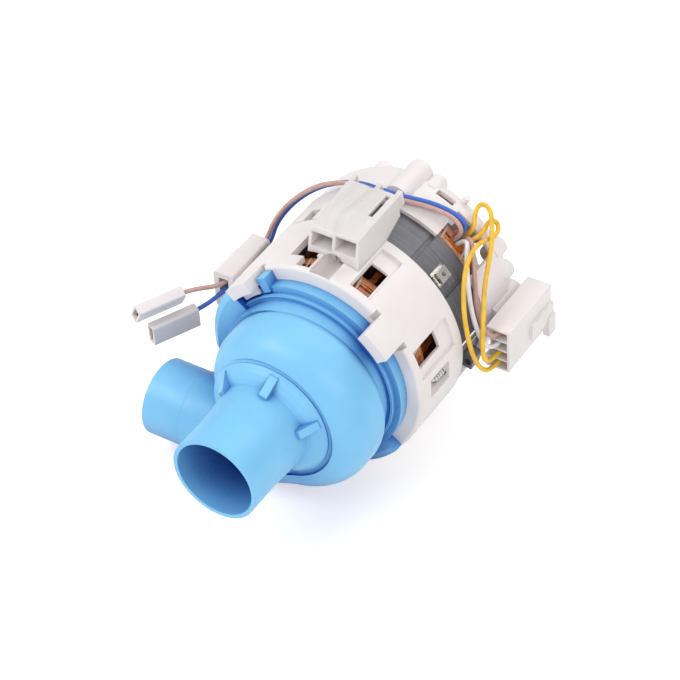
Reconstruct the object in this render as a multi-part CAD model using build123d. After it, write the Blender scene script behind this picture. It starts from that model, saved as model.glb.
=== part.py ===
from build123d import *
import os
from math import atan2, cos, degrees, pi, radians, sin, sqrt, tan

# Wash pump with its induction motor, in millimetres.
# The shaft axis is +Y, from the inlet mouth at the origin to the rear bracket.
# +Z is up and the outlet points to -X.

# Clearances
FIT = 0.1                  # between pieces seated in one another
RUN = 0.03                 # radial, shaft in bush
FREE = 0.4                 # rotating pieces to fixed ones
FILM = 0.1                 # between the two seal faces

# Inlet spigot and collar
INLET_R = 19.0
INLET_WALL = 1.8
INLET_LENGTH = 34.4
COLLAR_R = 26.8
COLLAR_DEPTH = 4.8
COLLAR_BULGE = 0.45        # of the conical collar, over a straight cone
INLET_STRAIGHT = 18.0
INLET_SWELL = 1.1          # tube radius gained towards the collar
GUSSET_ANGLES = (140, 79, 20, -70)
GUSSET_WIDTH = 3.6
GUSSET_AHEAD = 4.0         # front of a gusset, ahead of the collar
GUSSET_SLOPE = 7.4
GUSSET_NOSE = 2.4          # front of a gusset, over the tube
GUSSET_INSET = 0.9         # top of a gusset, within the collar's edge

# Scroll, measured from the shaft axis
SCROLL_LEFT = 32.5
SCROLL_TOP = 37.5
SCROLL_RIGHT = 40.2
SCROLL_BOTTOM = 41.8
SCROLL_DEPTH = 26.3
SCROLL_FRONT_ROUND = 13.4
SCROLL_REAR_ROUND = 7.0
SCROLL_WALL = 2.2
VALLEY_R = 27.7
VALLEY_SECTION_R = 1.3

# Outlet spigot
OUTLET_R = 16.6
OUTLET_WALL = 1.8
OUTLET_REACH = 63.3
OUTLET_DROP = 28.0
OUTLET_SETBACK = 13.4      # behind the scroll's front face
OUTLET_STEP_X = 45.0
OUTLET_STEP = 0.5
OUTLET_TAPER_LENGTH = 22.0
OUTLET_TAPER_R = 11.6

# Neck and flange of the volute
NECK_LENGTH = 3.6
NECK_WALL = 2.2
NECK_STEP = 5.0            # flange over neck
RING_STEP = 2.8            # flange over ring
RING_DEPTH = 2.0
FLANGE_INSET = 6.5         # flange within the bracket's outside
FLANGE_DEPTH = 4.9
BEAD_STEP = 3.6            # flange over the bead's middle
BEAD_SECTION_R = 0.9
WING_INSET = 0.6           # wings within the bracket's outside
LEFT_WING = (140.5, 187)
RIGHT_WING = (-70, -37)
WING_DEPTH = 8.5
RIGHT_WING_DEPTH = 5.0
STOP_LUG = (115.5, 121)
STOP_LUG_INSET = 1.9
STOP_LUG_DEPTH = 6.0

# Brackets
BRACKET_STEP = 3.0         # front bracket's outside over the stator's
STATOR_GAP = 0.2
FRONT_BRACKET_LENGTH = 32.8
FRONT_WALL = 3.0
REAR_BRACKET_STEP = 2.0    # rear bracket's outside over the stator's
REAR_BRACKET_LENGTH = 28.0
REAR_WALL = 3.0
REAR_ROUND = 6.0
REGISTER = 2.0
HUB_R = 11.5
FOOT_SPREAD = 15.0
FOOT_WIDTH = 5.0
FOOT_LENGTH = 18.0
FOOT_DROP = 3.1
HOOKS = ((43, 8.5, 10.8), (131, 8.0, 10.8), (-80, 8.0, 6.6), (-137, 10.0, 5.8))   # angle, half width, reach
HOOK_LIP = 1.2
HOOK_LIP_OVERLAP = 2.0     # lip within the flange's edge
HOOK_GAP = 1.2             # hook over the flange's edge

# Through screws
SCREW_ANGLES = (87, -3, -93, 177)
SCREW_INSET = 3.7          # screw axes within the bracket's outside
SCREW_R = 2.0
SCREW_TIP_BACK = 15.4      # tip, behind the front bracket's front face
SCREW_THREAD_LENGTH = 15.0
SCREW_PITCH = 1.55
SCREW_THREAD_DEPTH = 0.45
SCREW_HEAD_R = 3.8
SCREW_HEAD_HEIGHT = 2.8
REAR_LUGS = ((75.5, 3.5, 4.1), (12, 4.0, 4.2), (27, 3.8, 4.3), (111, 5.3, 4.6), (-45, 4.0, 4.2),
             (-135, 4.0, 4.2), (150, 4.0, 4.2))   # angle, inset from the rim, radius
REAR_LUG_DEPTH = 9.0
BOSS_BACK = 4.8            # rear screw bosses, behind the stator
REAR_LEGS = (114, -66)
LEG_SPAN = 26
PEG_ANGLE = 58
POST_R = 6.3
TUBE_R = 5.8
CHANNEL_R = 4.7
CHANNEL_LENGTH = 15.8

# Stator, rotor and windings
STATOR_R = 44.5
STATOR_LENGTH = 23.2
STATOR_BORE_R = 24.0
SLOT_COUNT = 24
SLOT_INNER_R = 25.2
YOKE = 8.1                 # stator ring outside the slots
SLOT_WIDTH = 3.4
SLOT_MOUTH = 1.6
AIR_GAP = 0.4
ROTOR_BAR_COUNT = 28
END_RING_LENGTH = 5.0
END_RING_INNER_R = 12.5
FAN_BLADE_COUNT = 9
FAN_BLADE_LENGTH = 4.0
COIL_INNER_R = 27.5
COIL_INSET = 7.5           # coil heads within the stator's outside
COIL_OVERHANG = 11.8       # slot end to the coil head's near face
COIL_DEPTH = 10.8
WIRE_R = 0.8
WIRE_PITCH = 2.1
COIL_TURNS = 5
SPLICE_ANGLE = 45
SPLICE_STEP = 4.0          # leads' ends over the coil head
SPLICE_PITCH = 2.3
SPLICE_BACK = 9.4          # middle of the leads' ends, behind the stator

# Shaft and bushes
SHAFT_R = 4.0
SHAFT_REAR_SHORT = 3.0     # shaft end, ahead of the rear bracket's outer face
BUSH_R = 7.6
BUSH_LENGTH = 9.0
FELT_R = 10.3
FELT_LENGTH = 3.0
RETAINER_THICKNESS = 0.6
WASHER_R = 6.2
WASHER_THICKNESS = 0.8

# Impeller and seal
IMPELLER_R = 26.0
IMPELLER_EYE_R = 14.0
IMPELLER_DISC = 1.8
IMPELLER_DEPTH = 16.0
IMPELLER_HUB_R = 7.0
BLADE_COUNT = 6
BLADE_THICKNESS = 1.8
PLATE_THICKNESS = 3.0
PLATE_HUB_R = 15.0
RING_SECTION_R = 1.5
SEAT_R = 9.6
SEAT_BORE_R = 5.2
SEAT_THICKNESS = 3.0
CUP_WALL = 1.2
CARBON_R = 8.4
CARBON_THICKNESS = 2.2
BELLOWS_R = 9.2
SPRING_WALL = 0.8

# Wire tower, across from the top screw's axis and up from the bracket's outside
TOWER_LEFT_HALF = 12.0
TOWER_RIGHT_HALF = 10.3
TOWER_FLARE = 1.4              # right flank's foot
TOWER_BACK_FROM_FRONT = 11.0   # front face, behind the front bracket's front face
TOWER_LEAN = 4.0
TOWER_LENGTH = 33.0
TOWER_EAVES = 9.2
TOWER_CREST = 11.2
TOWER_RISE = 1.3               # roof's rise from front to rear
TOWER_VALLEY = 1.0             # valley between the two humps
TOWER_CHAMFER = 2.2
TOWER_SKIN = 1.5
TOWER_UNDERCUT = 4.2           # underside's rise over the stator
TOWER_LEG = 2.2
TOWER_LEG_DROP = 1.9
SEAT_GAP = 0.1
POCKET_WIDTH = 9.5
POCKET_WALL = 1.3
POCKET_DEPTH = 12.0
POCKET_FLOOR = 3.3
POCKET_HEIGHT = 6.2
POCKET_RISE = 1.2              # second pocket over the first
ARCH_R = 5.4
ARCH_DEPTH = 5.0
ROOF_SLOT_WIDTH = 2.0
ROOF_SLOT_LENGTH = 14.0
FIN_THICKNESS = 1.9
FIN_REACH = 3.6                # fins behind the roof
FIN_TIP = 1.1
FIN_LOW = 6.4

# Supply connector
CONNECTOR_WAYS = 4
CONNECTOR_PITCH = 5.0
CONNECTOR_WALL = 1.1
CONNECTOR_THICKNESS = 11.0
CONNECTOR_LENGTH = 35.0
CONNECTOR_OUT = 3.5        # connector outside the front bracket
CONNECTOR_FRONT = 121.0
CONNECTOR_MIDDLE_Z = -3.8
CELL_DEPTH = 12.0
SOCKET_DEPTH = 9.0
BLADE_WIDTH = 6.0
BLADE_SHEET = 0.8

# Lead box and receptacles
BOX_OUT = 14.5             # lead box's far side outside the front bracket
BOX_THICKNESS = 10.0
BOX_FRONT = 92.0
BOX_LENGTH = 28.0
BOX_LOW = -7.3
BOX_HEIGHT = 18.8
RECEPTACLE_LENGTH = 21.8
RECEPTACLE_HEIGHT = 9.8
RECEPTACLE_THICKNESS = 5.2
RECEPTACLE_WALL = 1.0
TAB_WIDTH = 6.3

# Leads
LEAD_D = 2.0

# Radii that follow from the stator's
BRACKET_R = STATOR_R + BRACKET_STEP
BRACKET_BORE_R = STATOR_R + STATOR_GAP
REAR_BRACKET_R = STATOR_R + REAR_BRACKET_STEP
SCREW_CIRCLE_R = BRACKET_R - SCREW_INSET
FLANGE_R = BRACKET_R - FLANGE_INSET
NECK_R = FLANGE_R - NECK_STEP
NECK_BORE_R = NECK_R - NECK_WALL
RING_R = FLANGE_R - RING_STEP
BEAD_R = FLANGE_R - BEAD_STEP
WING_OUTER_R = BRACKET_R - WING_INSET
STOP_LUG_R = BRACKET_R - STOP_LUG_INSET
HOOK_LIP_R = FLANGE_R - HOOK_LIP_OVERLAP
HOOK_INNER_R = FLANGE_R + HOOK_GAP
SLOT_OUTER_R = STATOR_R - YOKE
COIL_OUTER_R = STATOR_R - COIL_INSET
SPLICE_R = COIL_OUTER_R + SPLICE_STEP
LOOP_R = COIL_OUTER_R + WIRE_R + FIT
CONNECTOR_LEFT = BRACKET_R + CONNECTOR_OUT
BOX_LEFT = -(BRACKET_R + BOX_OUT)

# Stations along the axis
COLLAR_FRONT = INLET_LENGTH
SCROLL_FRONT = COLLAR_FRONT + COLLAR_DEPTH
SCROLL_REAR = SCROLL_FRONT + SCROLL_DEPTH
NECK_REAR = SCROLL_REAR + NECK_LENGTH
RING_REAR = NECK_REAR + RING_DEPTH
FLANGE_REAR = RING_REAR + FLANGE_DEPTH
BRACKET_FRONT = FLANGE_REAR
BRACKET_REAR = BRACKET_FRONT + FRONT_BRACKET_LENGTH
STATOR_FRONT = BRACKET_REAR - REGISTER
STATOR_REAR = STATOR_FRONT + STATOR_LENGTH
REAR_FRONT = STATOR_REAR - REGISTER
REAR_END = REAR_FRONT + REAR_BRACKET_LENGTH
ROTOR_R = STATOR_BORE_R - AIR_GAP
OUTLET_Y = SCROLL_FRONT + OUTLET_SETBACK
PLATE_FRONT = SCROLL_REAR + 2.6
IMPELLER_FRONT = SCROLL_FRONT + SCROLL_WALL + 2.4
IMPELLER_REAR = IMPELLER_FRONT + IMPELLER_DEPTH
FRONT_BUSH_FRONT = BRACKET_FRONT + FRONT_WALL + 1.5
REAR_BUSH_REAR = REAR_END - REAR_WALL - 1.0
SHAFT_FRONT = IMPELLER_FRONT + 1.0
SHAFT_REAR = REAR_END - SHAFT_REAR_SHORT
SCREW_TIP = BRACKET_FRONT + SCREW_TIP_BACK
SCREW_SEAT = REAR_END - 4.0
SPLICE_Y = STATOR_REAR + SPLICE_BACK
TOWER_FRONT = BRACKET_FRONT + TOWER_BACK_FROM_FRONT
FLOOR_Z = -(BRACKET_R + FOOT_DROP)
TOWER_MIDDLE = SCREW_CIRCLE_R * cos(radians(SCREW_ANGLES[0]))
TOWER_LEFT = TOWER_MIDDLE - TOWER_LEFT_HALF
TOWER_RIGHT = TOWER_MIDDLE + TOWER_RIGHT_HALF
TOWER_REAR = TOWER_FRONT + TOWER_LENGTH
CONNECTOR_HEIGHT = CONNECTOR_WAYS * CONNECTOR_PITCH + CONNECTOR_WALL


# Helpers

def polar(radius, angle, y):
    a = radians(angle)
    return (radius * cos(a), y, radius * sin(a))


def rod(radius, y0, y1, x=0, z=0):
    return Pos(x, (y0 + y1) / 2, z) * Rot(90, 0, 0) * Cylinder(radius, y1 - y0)


def tube(outer, inner, y0, y1):
    return rod(outer, y0, y1) - rod(inner, y0 - 1, y1 + 1)


def turned(points):
    """Solid of revolution about the shaft axis, from (radius, y) corners."""
    return revolve(make_face(Polyline([(r, y, 0) for r, y in points], close=True)), Axis.Y, 360)


def sector(inner, outer, a0, a1, y0, y1):
    mid = (a0 + a1) / 2
    edges = [
        ThreePointArc(polar(outer, a0, y0), polar(outer, mid, y0), polar(outer, a1, y0)),
        Line(polar(outer, a1, y0), polar(inner, a1, y0)),
        ThreePointArc(polar(inner, a1, y0), polar(inner, mid, y0), polar(inner, a0, y0)),
        Line(polar(inner, a0, y0), polar(outer, a0, y0)),
    ]
    return extrude(make_face(edges), amount=y1 - y0, dir=(0, 1, 0))


def slab(x0, x1, y0, y1, z0, z1):
    return Pos((x0 + x1) / 2, (y0 + y1) / 2, (z0 + z1) / 2) * Box(x1 - x0, y1 - y0, z1 - z0)


def radial(angle, shape):
    """Turns a shape made at angle 0, towards +X, to the given angle about the shaft axis."""
    return Rot(0, -angle, 0) * shape


def one(shape):
    """The single solid that a boolean left."""
    solids = shape.solids()
    if len(solids) != 1:
        sizes = [(round(p.volume, 1), p.center()) for p in solids]
        print(f"expected one solid, found {len(solids)}: {sizes}")
        return max(solids, key=lambda p: p.volume)
    return solids[0]


# Volute

def scroll_corners(inset):
    """Centres and radii of the scroll's three quarter arcs."""
    left = SCROLL_LEFT - inset
    top = SCROLL_TOP - inset
    right = SCROLL_RIGHT - inset
    bottom = SCROLL_BOTTOM - inset
    x12 = (3 * right - left - top - bottom) / 4
    r1 = x12 + left
    r2 = right - x12
    z23 = top - r2
    r3 = z23 + bottom
    return (x12, top - r1, r1), (x12, z23, r2), (right - r3, z23, r3)


def scroll(inset, front, rear, front_round, rear_round):
    """Spiral prism with rounded rims, whose open end lies inside the outlet tube."""
    (x1, z1, r1), (x2, z2, r2), (x3, z3, r3) = scroll_corners(inset)
    half = sqrt(0.5)
    y = front
    left_end = (x1 - r1, y, z1)
    top_end = (x1, y, z1 + r1)
    right_end = (x2 + r2, y, z2)
    bottom_end = (x3, y, z3 - r3)
    edges = [
        ThreePointArc(left_end, (x1 - r1 * half, y, z1 + r1 * half), top_end),
        ThreePointArc(top_end, (x2 + r2 * half, y, z2 + r2 * half), right_end),
        ThreePointArc(right_end, (x3 + r3 * half, y, z3 - r3 * half), bottom_end),
        Line(bottom_end, (x3, y, -OUTLET_DROP)),
        Line((x3, y, -OUTLET_DROP), (x1 - r1, y, -OUTLET_DROP)),
        Line((x1 - r1, y, -OUTLET_DROP), left_end),
    ]
    body = extrude(make_face(edges), amount=rear - front, dir=(0, 1, 0))

    body = fillet(rim_edges(body, front, x3), front_round)
    return fillet(rim_edges(body, rear, x3), rear_round)


def rim_edges(body, y_rim, x_cut):
    outer = []
    for e in body.edges():
        middle = e.position_at(0.5)
        on_rim = abs(e.position_at(0).Y - y_rim) < 0.01 and abs(e.position_at(1).Y - y_rim) < 0.01
        on_cut = abs(middle.X - x_cut) < 0.01 or abs(middle.Z + OUTLET_DROP) < 0.01
        if on_rim and not on_cut:
            outer.append(e)
    return outer


def outlet_core(inset):
    """Outlet tube with the taper that fairs it into the scroll."""
    (_, _, _), (_, _, _), (x3, z3, r3) = scroll_corners(inset)
    big = OUTLET_R - inset
    small = OUTLET_TAPER_R - inset
    start = x3 - 4
    end = start + OUTLET_TAPER_LENGTH
    straight = Pos((start - OUTLET_REACH) / 2, OUTLET_Y, -OUTLET_DROP) * Rot(0, 90, 0) * Cylinder(
        big, OUTLET_REACH + start)
    low = z3 - sqrt(r3 ** 2 - (end - x3) ** 2)
    across = Plane(origin=(start, OUTLET_Y, -OUTLET_DROP), x_dir=(0, 1, 0), z_dir=(1, 0, 0))
    across_end = Plane(origin=(end, OUTLET_Y, low + small), x_dir=(0, 1, 0), z_dir=(1, 0, 0))
    taper = loft([across * Circle(big), across_end * Circle(small)], ruled=True)
    return straight + taper


def wing(span, inner, depth):
    """Bayonet wing on the flange with a sloping front."""
    a0, a1 = span
    body = sector(inner, WING_OUTER_R, a0, a1, FLANGE_REAR - depth, FLANGE_REAR)
    cone = turned([
        (inner - 2, FLANGE_REAR - depth - 1),
        (WING_OUTER_R + 3, FLANGE_REAR - depth - 1),
        (WING_OUTER_R + 3, FLANGE_REAR - depth * 0.45),
        (WING_OUTER_R - 3.0, FLANGE_REAR - depth),
        (inner - 2, FLANGE_REAR - depth),
    ])
    return body - cone


def make_volute():
    tube_end = INLET_R + INLET_SWELL
    third = (COLLAR_R - tube_end) / 3
    step = COLLAR_DEPTH / 3
    shell = turned([
        (0, 0), (INLET_R, 0), (INLET_R, INLET_STRAIGHT), (tube_end, COLLAR_FRONT),
        (tube_end + third, COLLAR_FRONT + step - COLLAR_BULGE),
        (tube_end + 2 * third, COLLAR_FRONT + 2 * step - COLLAR_BULGE),
        (COLLAR_R, SCROLL_FRONT + 0.4), (COLLAR_R, SCROLL_FRONT + 3), (0, SCROLL_FRONT + 3),
    ])
    for a in GUSSET_ANGLES:
        y0 = COLLAR_FRONT - GUSSET_AHEAD
        top = COLLAR_R - GUSSET_INSET
        web = make_face(Polyline([
            (INLET_R - 0.5, y0, 0), (INLET_R + GUSSET_NOSE, y0, 0), (top, y0 + GUSSET_SLOPE, 0),
            (top, SCROLL_FRONT - 0.4, 0), (INLET_R - 0.5, SCROLL_FRONT - 0.4, 0),
        ], close=True))
        shell += radial(a, extrude(web, amount=GUSSET_WIDTH / 2, both=True))
    body = scroll(0, SCROLL_FRONT, SCROLL_REAR, SCROLL_FRONT_ROUND, SCROLL_REAR_ROUND)
    body += outlet_core(0)
    body += Pos(-(OUTLET_STEP_X + 14) / 2, OUTLET_Y, -OUTLET_DROP) * Rot(0, 90, 0) * Cylinder(
        OUTLET_R + OUTLET_STEP, OUTLET_STEP_X - 14)
    valley = Pos(0, SCROLL_FRONT, 0) * Rot(90, 0, 0) * Torus(VALLEY_R, VALLEY_SECTION_R)
    body -= valley
    shell += body
    shell += rod(NECK_R, SCROLL_REAR - 3.6, NECK_REAR + 0.5)
    shell += rod(RING_R, NECK_REAR, RING_REAR + 0.5)
    shell += rod(FLANGE_R, RING_REAR, FLANGE_REAR)
    shell += Pos(0, NECK_REAR + BEAD_SECTION_R * 0.8, 0) * Rot(90, 0, 0) * Torus(BEAD_R, BEAD_SECTION_R)
    shell += wing(LEFT_WING, NECK_R - 2, WING_DEPTH)
    shell += wing(RIGHT_WING, NECK_R - 2, RIGHT_WING_DEPTH)
    shell += sector(FLANGE_R - 2, STOP_LUG_R, *STOP_LUG, FLANGE_REAR - STOP_LUG_DEPTH, FLANGE_REAR)
    shell -= rod(INLET_R - INLET_WALL, -1, SCROLL_FRONT + SCROLL_WALL + 1)
    shell -= scroll(SCROLL_WALL, SCROLL_FRONT + SCROLL_WALL, SCROLL_REAR - SCROLL_WALL,
                    SCROLL_FRONT_ROUND - SCROLL_WALL, SCROLL_REAR_ROUND - SCROLL_WALL)
    shell -= outlet_core(OUTLET_WALL)
    shell -= rod(NECK_BORE_R, SCROLL_REAR - 1.4, FLANGE_REAR + 1)
    shell -= rod(SCROLL_LEFT - SCROLL_WALL - 1, SCROLL_REAR - SCROLL_WALL - 4, SCROLL_REAR)
    return one(shell)


# Shaft seal and pump back wall

def make_back_plate():
    rear = BRACKET_FRONT - FIT
    plate = rod(NECK_BORE_R - FIT, PLATE_FRONT, PLATE_FRONT + PLATE_THICKNESS)
    plate += tube(NECK_BORE_R - FIT, NECK_BORE_R - 5.5, PLATE_FRONT, rear)
    plate += rod(PLATE_HUB_R, PLATE_FRONT, rear)
    groove_floor = NECK_BORE_R - 2 * RING_SECTION_R
    plate -= tube(NECK_BORE_R + 2, groove_floor, o_ring_y() - RING_SECTION_R - FIT, o_ring_y() + RING_SECTION_R + FIT)
    cup_r = SEAT_R + CUP_WALL + FIT
    plate -= rod(cup_r, PLATE_FRONT - 1, seat_front() + SEAT_THICKNESS + CUP_WALL)
    plate -= rod(SHAFT_R + 2.5, PLATE_FRONT - 1, rear + 1)
    return one(plate)


def o_ring_y():
    return (PLATE_FRONT + BRACKET_FRONT) / 2


def make_o_ring():
    return Pos(0, o_ring_y(), 0) * Rot(90, 0, 0) * Torus(NECK_BORE_R - RING_SECTION_R - 0.02, RING_SECTION_R - 0.02)


def seat_front():
    return PLATE_FRONT + 0.2


def make_seat():
    return tube(SEAT_R, SEAT_BORE_R, seat_front(), seat_front() + SEAT_THICKNESS)


def make_seat_cup():
    y0 = seat_front() + 0.4
    y1 = seat_front() + SEAT_THICKNESS + CUP_WALL
    cup = rod(SEAT_R + CUP_WALL, y0, y1) - rod(SEAT_R, y0 - 1, seat_front() + SEAT_THICKNESS)
    return one(cup - rod(SEAT_BORE_R + 1, y0 - 1, y1 + 1))


def make_carbon_ring():
    y1 = seat_front() - FILM
    return tube(CARBON_R, SHAFT_R + 0.8, y1 - CARBON_THICKNESS, y1)


def bellows_rear():
    return seat_front() - FILM - CARBON_THICKNESS


def make_bellows():
    """Rubber bellows from the impeller's back to the carbon ring, with one fold."""
    y0 = IMPELLER_REAR
    y1 = bellows_rear()
    fold = (y0 + y1) / 2
    inner = SHAFT_R + FIT / 2
    profile = [
        (inner, y0), (BELLOWS_R - 1.8, y0), (BELLOWS_R, fold - 0.6), (BELLOWS_R, fold + 0.6),
        (BELLOWS_R - 1.2, y1), (inner + 0.9, y1), (inner + 0.9, fold), (inner, fold),
    ]
    return one(turned(profile))


def make_seal_spring():
    """Sleeve that stands in for the seal's coil spring, round the bellows."""
    y0 = IMPELLER_REAR
    y1 = bellows_rear() - 0.2
    outer = BELLOWS_R + SPRING_WALL + FIT
    return tube(outer, BELLOWS_R + FIT, y0, y1)


def blade(angle):
    """Impeller vane between two arcs swept back from the hub to the rim."""
    y = IMPELLER_FRONT + IMPELLER_DISC / 2
    start = IMPELLER_HUB_R - 0.5
    end = IMPELLER_R - 0.6
    middle = (start + end) / 2
    near = [polar(start, angle, y), polar(middle, angle + 24, y), polar(end, angle + 62, y)]
    far = []
    for r, turn in ((start, 0), (middle, 24), (end, 62)):
        far.append(polar(r, angle + turn + degrees(BLADE_THICKNESS / r), y))
    edges = [ThreePointArc(*near), Line(near[2], far[2]), ThreePointArc(*reversed(far)), Line(far[0], near[0])]
    return extrude(make_face(edges), amount=IMPELLER_DEPTH - IMPELLER_DISC, dir=(0, 1, 0))


def make_impeller():
    front = rod(IMPELLER_R, IMPELLER_FRONT, IMPELLER_FRONT + IMPELLER_DISC)
    front += rod(IMPELLER_EYE_R + 1.6, IMPELLER_FRONT - 2.6, IMPELLER_FRONT + IMPELLER_DISC)
    front -= rod(IMPELLER_EYE_R, IMPELLER_FRONT - 4, IMPELLER_FRONT + IMPELLER_DISC + 1)
    wheel = front + rod(IMPELLER_R, IMPELLER_REAR - IMPELLER_DISC, IMPELLER_REAR)
    wheel += rod(IMPELLER_HUB_R, IMPELLER_FRONT, IMPELLER_REAR)
    nose = Pos(0, IMPELLER_FRONT, 0) * Sphere(IMPELLER_HUB_R)
    wheel += nose & rod(IMPELLER_HUB_R + 1, IMPELLER_FRONT - IMPELLER_HUB_R, IMPELLER_FRONT + 1)
    for i in range(BLADE_COUNT):
        wheel += blade(i * 360 / BLADE_COUNT)
    wheel -= rod(SHAFT_R + FIT / 2, SHAFT_FRONT - FIT, IMPELLER_REAR + 1)
    return one(wheel)


# Rotor

def make_shaft():
    shaft = rod(SHAFT_R, SHAFT_FRONT, SHAFT_REAR)
    ends = shaft.edges().filter_by(GeomType.CIRCLE)
    return one(chamfer([ends.sort_by(Axis.Y)[0], ends.sort_by(Axis.Y)[-1]], 0.6))


def rotor_front():
    return STATOR_FRONT


def rotor_rear():
    return STATOR_REAR


def make_rotor_core():
    core = tube(ROTOR_R, SHAFT_R + FIT / 4, rotor_front(), rotor_rear())
    holes = [radial(i * 360 / ROTOR_BAR_COUNT, rod(1.2, rotor_front() - 1, rotor_rear() + 1, x=ROTOR_R - 2.2))
             for i in range(ROTOR_BAR_COUNT)]
    return one(core - holes)


def make_rotor_cage():
    """Cast aluminium cage: skewless bars, two end rings and their fan blades."""
    rings = []
    outer = ROTOR_R - 0.6
    for y0, y1, blade_y in (
        (rotor_front() - END_RING_LENGTH, rotor_front(), rotor_front() - END_RING_LENGTH - FAN_BLADE_LENGTH),
        (rotor_rear(), rotor_rear() + END_RING_LENGTH, rotor_rear() + END_RING_LENGTH),
    ):
        ring = tube(outer, END_RING_INNER_R, y0, y1)
        for i in range(FAN_BLADE_COUNT):
            fin = slab(END_RING_INNER_R + 2, outer - 1.4, blade_y, blade_y + FAN_BLADE_LENGTH, -0.9, 0.9)
            ring += radial(i * 360 / FAN_BLADE_COUNT, fin)
        rings.append(ring)
    cage = rings[0] + rings[1]
    cage += [radial(i * 360 / ROTOR_BAR_COUNT, rod(1.15, rotor_front() - 1, rotor_rear() + 1, x=ROTOR_R - 2.2))
             for i in range(ROTOR_BAR_COUNT)]
    return one(cage)


def front_bush_rear():
    return FRONT_BUSH_FRONT + BUSH_LENGTH


def rear_bush_front():
    return REAR_BUSH_REAR - BUSH_LENGTH


def make_washers():
    front = front_bush_rear() + FREE
    rear = rear_bush_front() - FREE - WASHER_THICKNESS
    return [tube(WASHER_R, SHAFT_R + FIT / 2, y, y + WASHER_THICKNESS) for y in (front, rear)]


# Bushes

def make_bush(y0):
    """Sintered bush with a spherical outside."""
    middle = y0 + BUSH_LENGTH / 2
    ball = Pos(0, middle, 0) * Sphere(BUSH_R)
    bush = ball & rod(BUSH_R + 1, y0, y0 + BUSH_LENGTH)
    return one(bush - rod(SHAFT_R + RUN, y0 - 1, y0 + BUSH_LENGTH + 1))


def make_felt(y0):
    return tube(FELT_R, BUSH_R + 0.3, y0, y0 + FELT_LENGTH)


def make_retainer(y0):
    """Star washer that holds the bush in its seat."""
    disc = tube(FELT_R, WASHER_R + FREE, y0, y0 + RETAINER_THICKNESS)
    slots = [radial(i * 60 + 15, slab(SHAFT_R + 1.5, BUSH_R + 0.9, y0 - 1, y0 + 2, -0.6, 0.6)) for i in range(6)]
    return one(disc - slots)


# Stator and windings

def make_stator():
    core = tube(STATOR_R, STATOR_BORE_R, STATOR_FRONT, STATOR_REAR)
    slot = slab(SLOT_INNER_R, SLOT_OUTER_R, STATOR_FRONT - 1, STATOR_REAR + 1, -SLOT_WIDTH / 2, SLOT_WIDTH / 2)
    mouth = slab(STATOR_BORE_R - 1, SLOT_INNER_R + 1, STATOR_FRONT - 1, STATOR_REAR + 1,
                 -SLOT_MOUTH / 2, SLOT_MOUTH / 2)
    cuts = []
    for i in range(SLOT_COUNT):
        turn = (i + 0.5) * 360 / SLOT_COUNT
        cuts.append(radial(turn, slot))
        cuts.append(radial(turn, mouth))
    for a in SCREW_ANGLES:
        cuts.append(radial(a, rod(SCREW_R + 0.5, STATOR_FRONT - 1, STATOR_REAR + 1, x=SCREW_CIRCLE_R)))
    for a in (58, 32, 148, -58, -122, -148):
        cuts.append(radial(a, slab(STATOR_R - 0.8, STATOR_R + 1, STATOR_FRONT - 1, STATOR_REAR + 1, -1.1, 1.1)))
    core -= cuts
    lug_y = (BRACKET_REAR + REAR_FRONT) / 2
    lug = slab(STATOR_R - 1, STATOR_R + 5, lug_y - 3.4, lug_y + 3.4, -3.2, 3.2)
    core += radial(-13, lug - rod(1.6, lug_y - 5, lug_y + 5, x=STATOR_R + 2.6))
    return one(core)


def make_earth_terminal():
    """Folded tin-plated tab with a raised box, on the stator's side."""
    y0 = BRACKET_REAR + 2.6
    base = slab(STATOR_R + FIT, STATOR_R + 1.0, y0, y0 + 8.2, -3.4, 3.4)
    box = slab(STATOR_R + 0.9, STATOR_R + 3.4, y0 + 0.8, y0 + 7.2, -2.6, 2.6)
    box -= slab(STATOR_R + 1.4, STATOR_R + 2.9, y0 - 1, y0 + 9, -2.0, 2.0)
    hole = Pos(STATOR_R + 3, y0 + 4, 0) * Rot(0, 90, 0) * Cylinder(1.0, 2)
    return one(radial(42, base + box - hole))


def coil_span(front):
    """Lowest and highest y of a coil head."""
    if front:
        return STATOR_FRONT - COIL_OVERHANG - COIL_DEPTH, STATOR_FRONT - COIL_OVERHANG
    return STATOR_REAR + 2.0, STATOR_REAR + 2.0 + COIL_DEPTH


def coil_room(front):
    """Space that a bracket leaves round a coil head."""
    y0, y1 = coil_span(front)
    return tube(LOOP_R + WIRE_R + 0.5, COIL_INNER_R - 1, y0 - 1, y1 + 1.4)


def splice_point(row, column):
    """Middle of a lead's end on the splice block, from the rear coil head's middle."""
    y = SPLICE_Y + row * SPLICE_PITCH
    a = radians(SPLICE_ANGLE)
    t = column * SPLICE_PITCH
    return (SPLICE_R * cos(a) - t * sin(a), y, SPLICE_R * sin(a) + t * cos(a))


def splice_out(row, column, reach):
    """Point straight out from a lead's end."""
    x, y, z = splice_point(row, column)
    a = radians(SPLICE_ANGLE)
    return (x + reach * cos(a), y, z + reach * sin(a))


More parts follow.
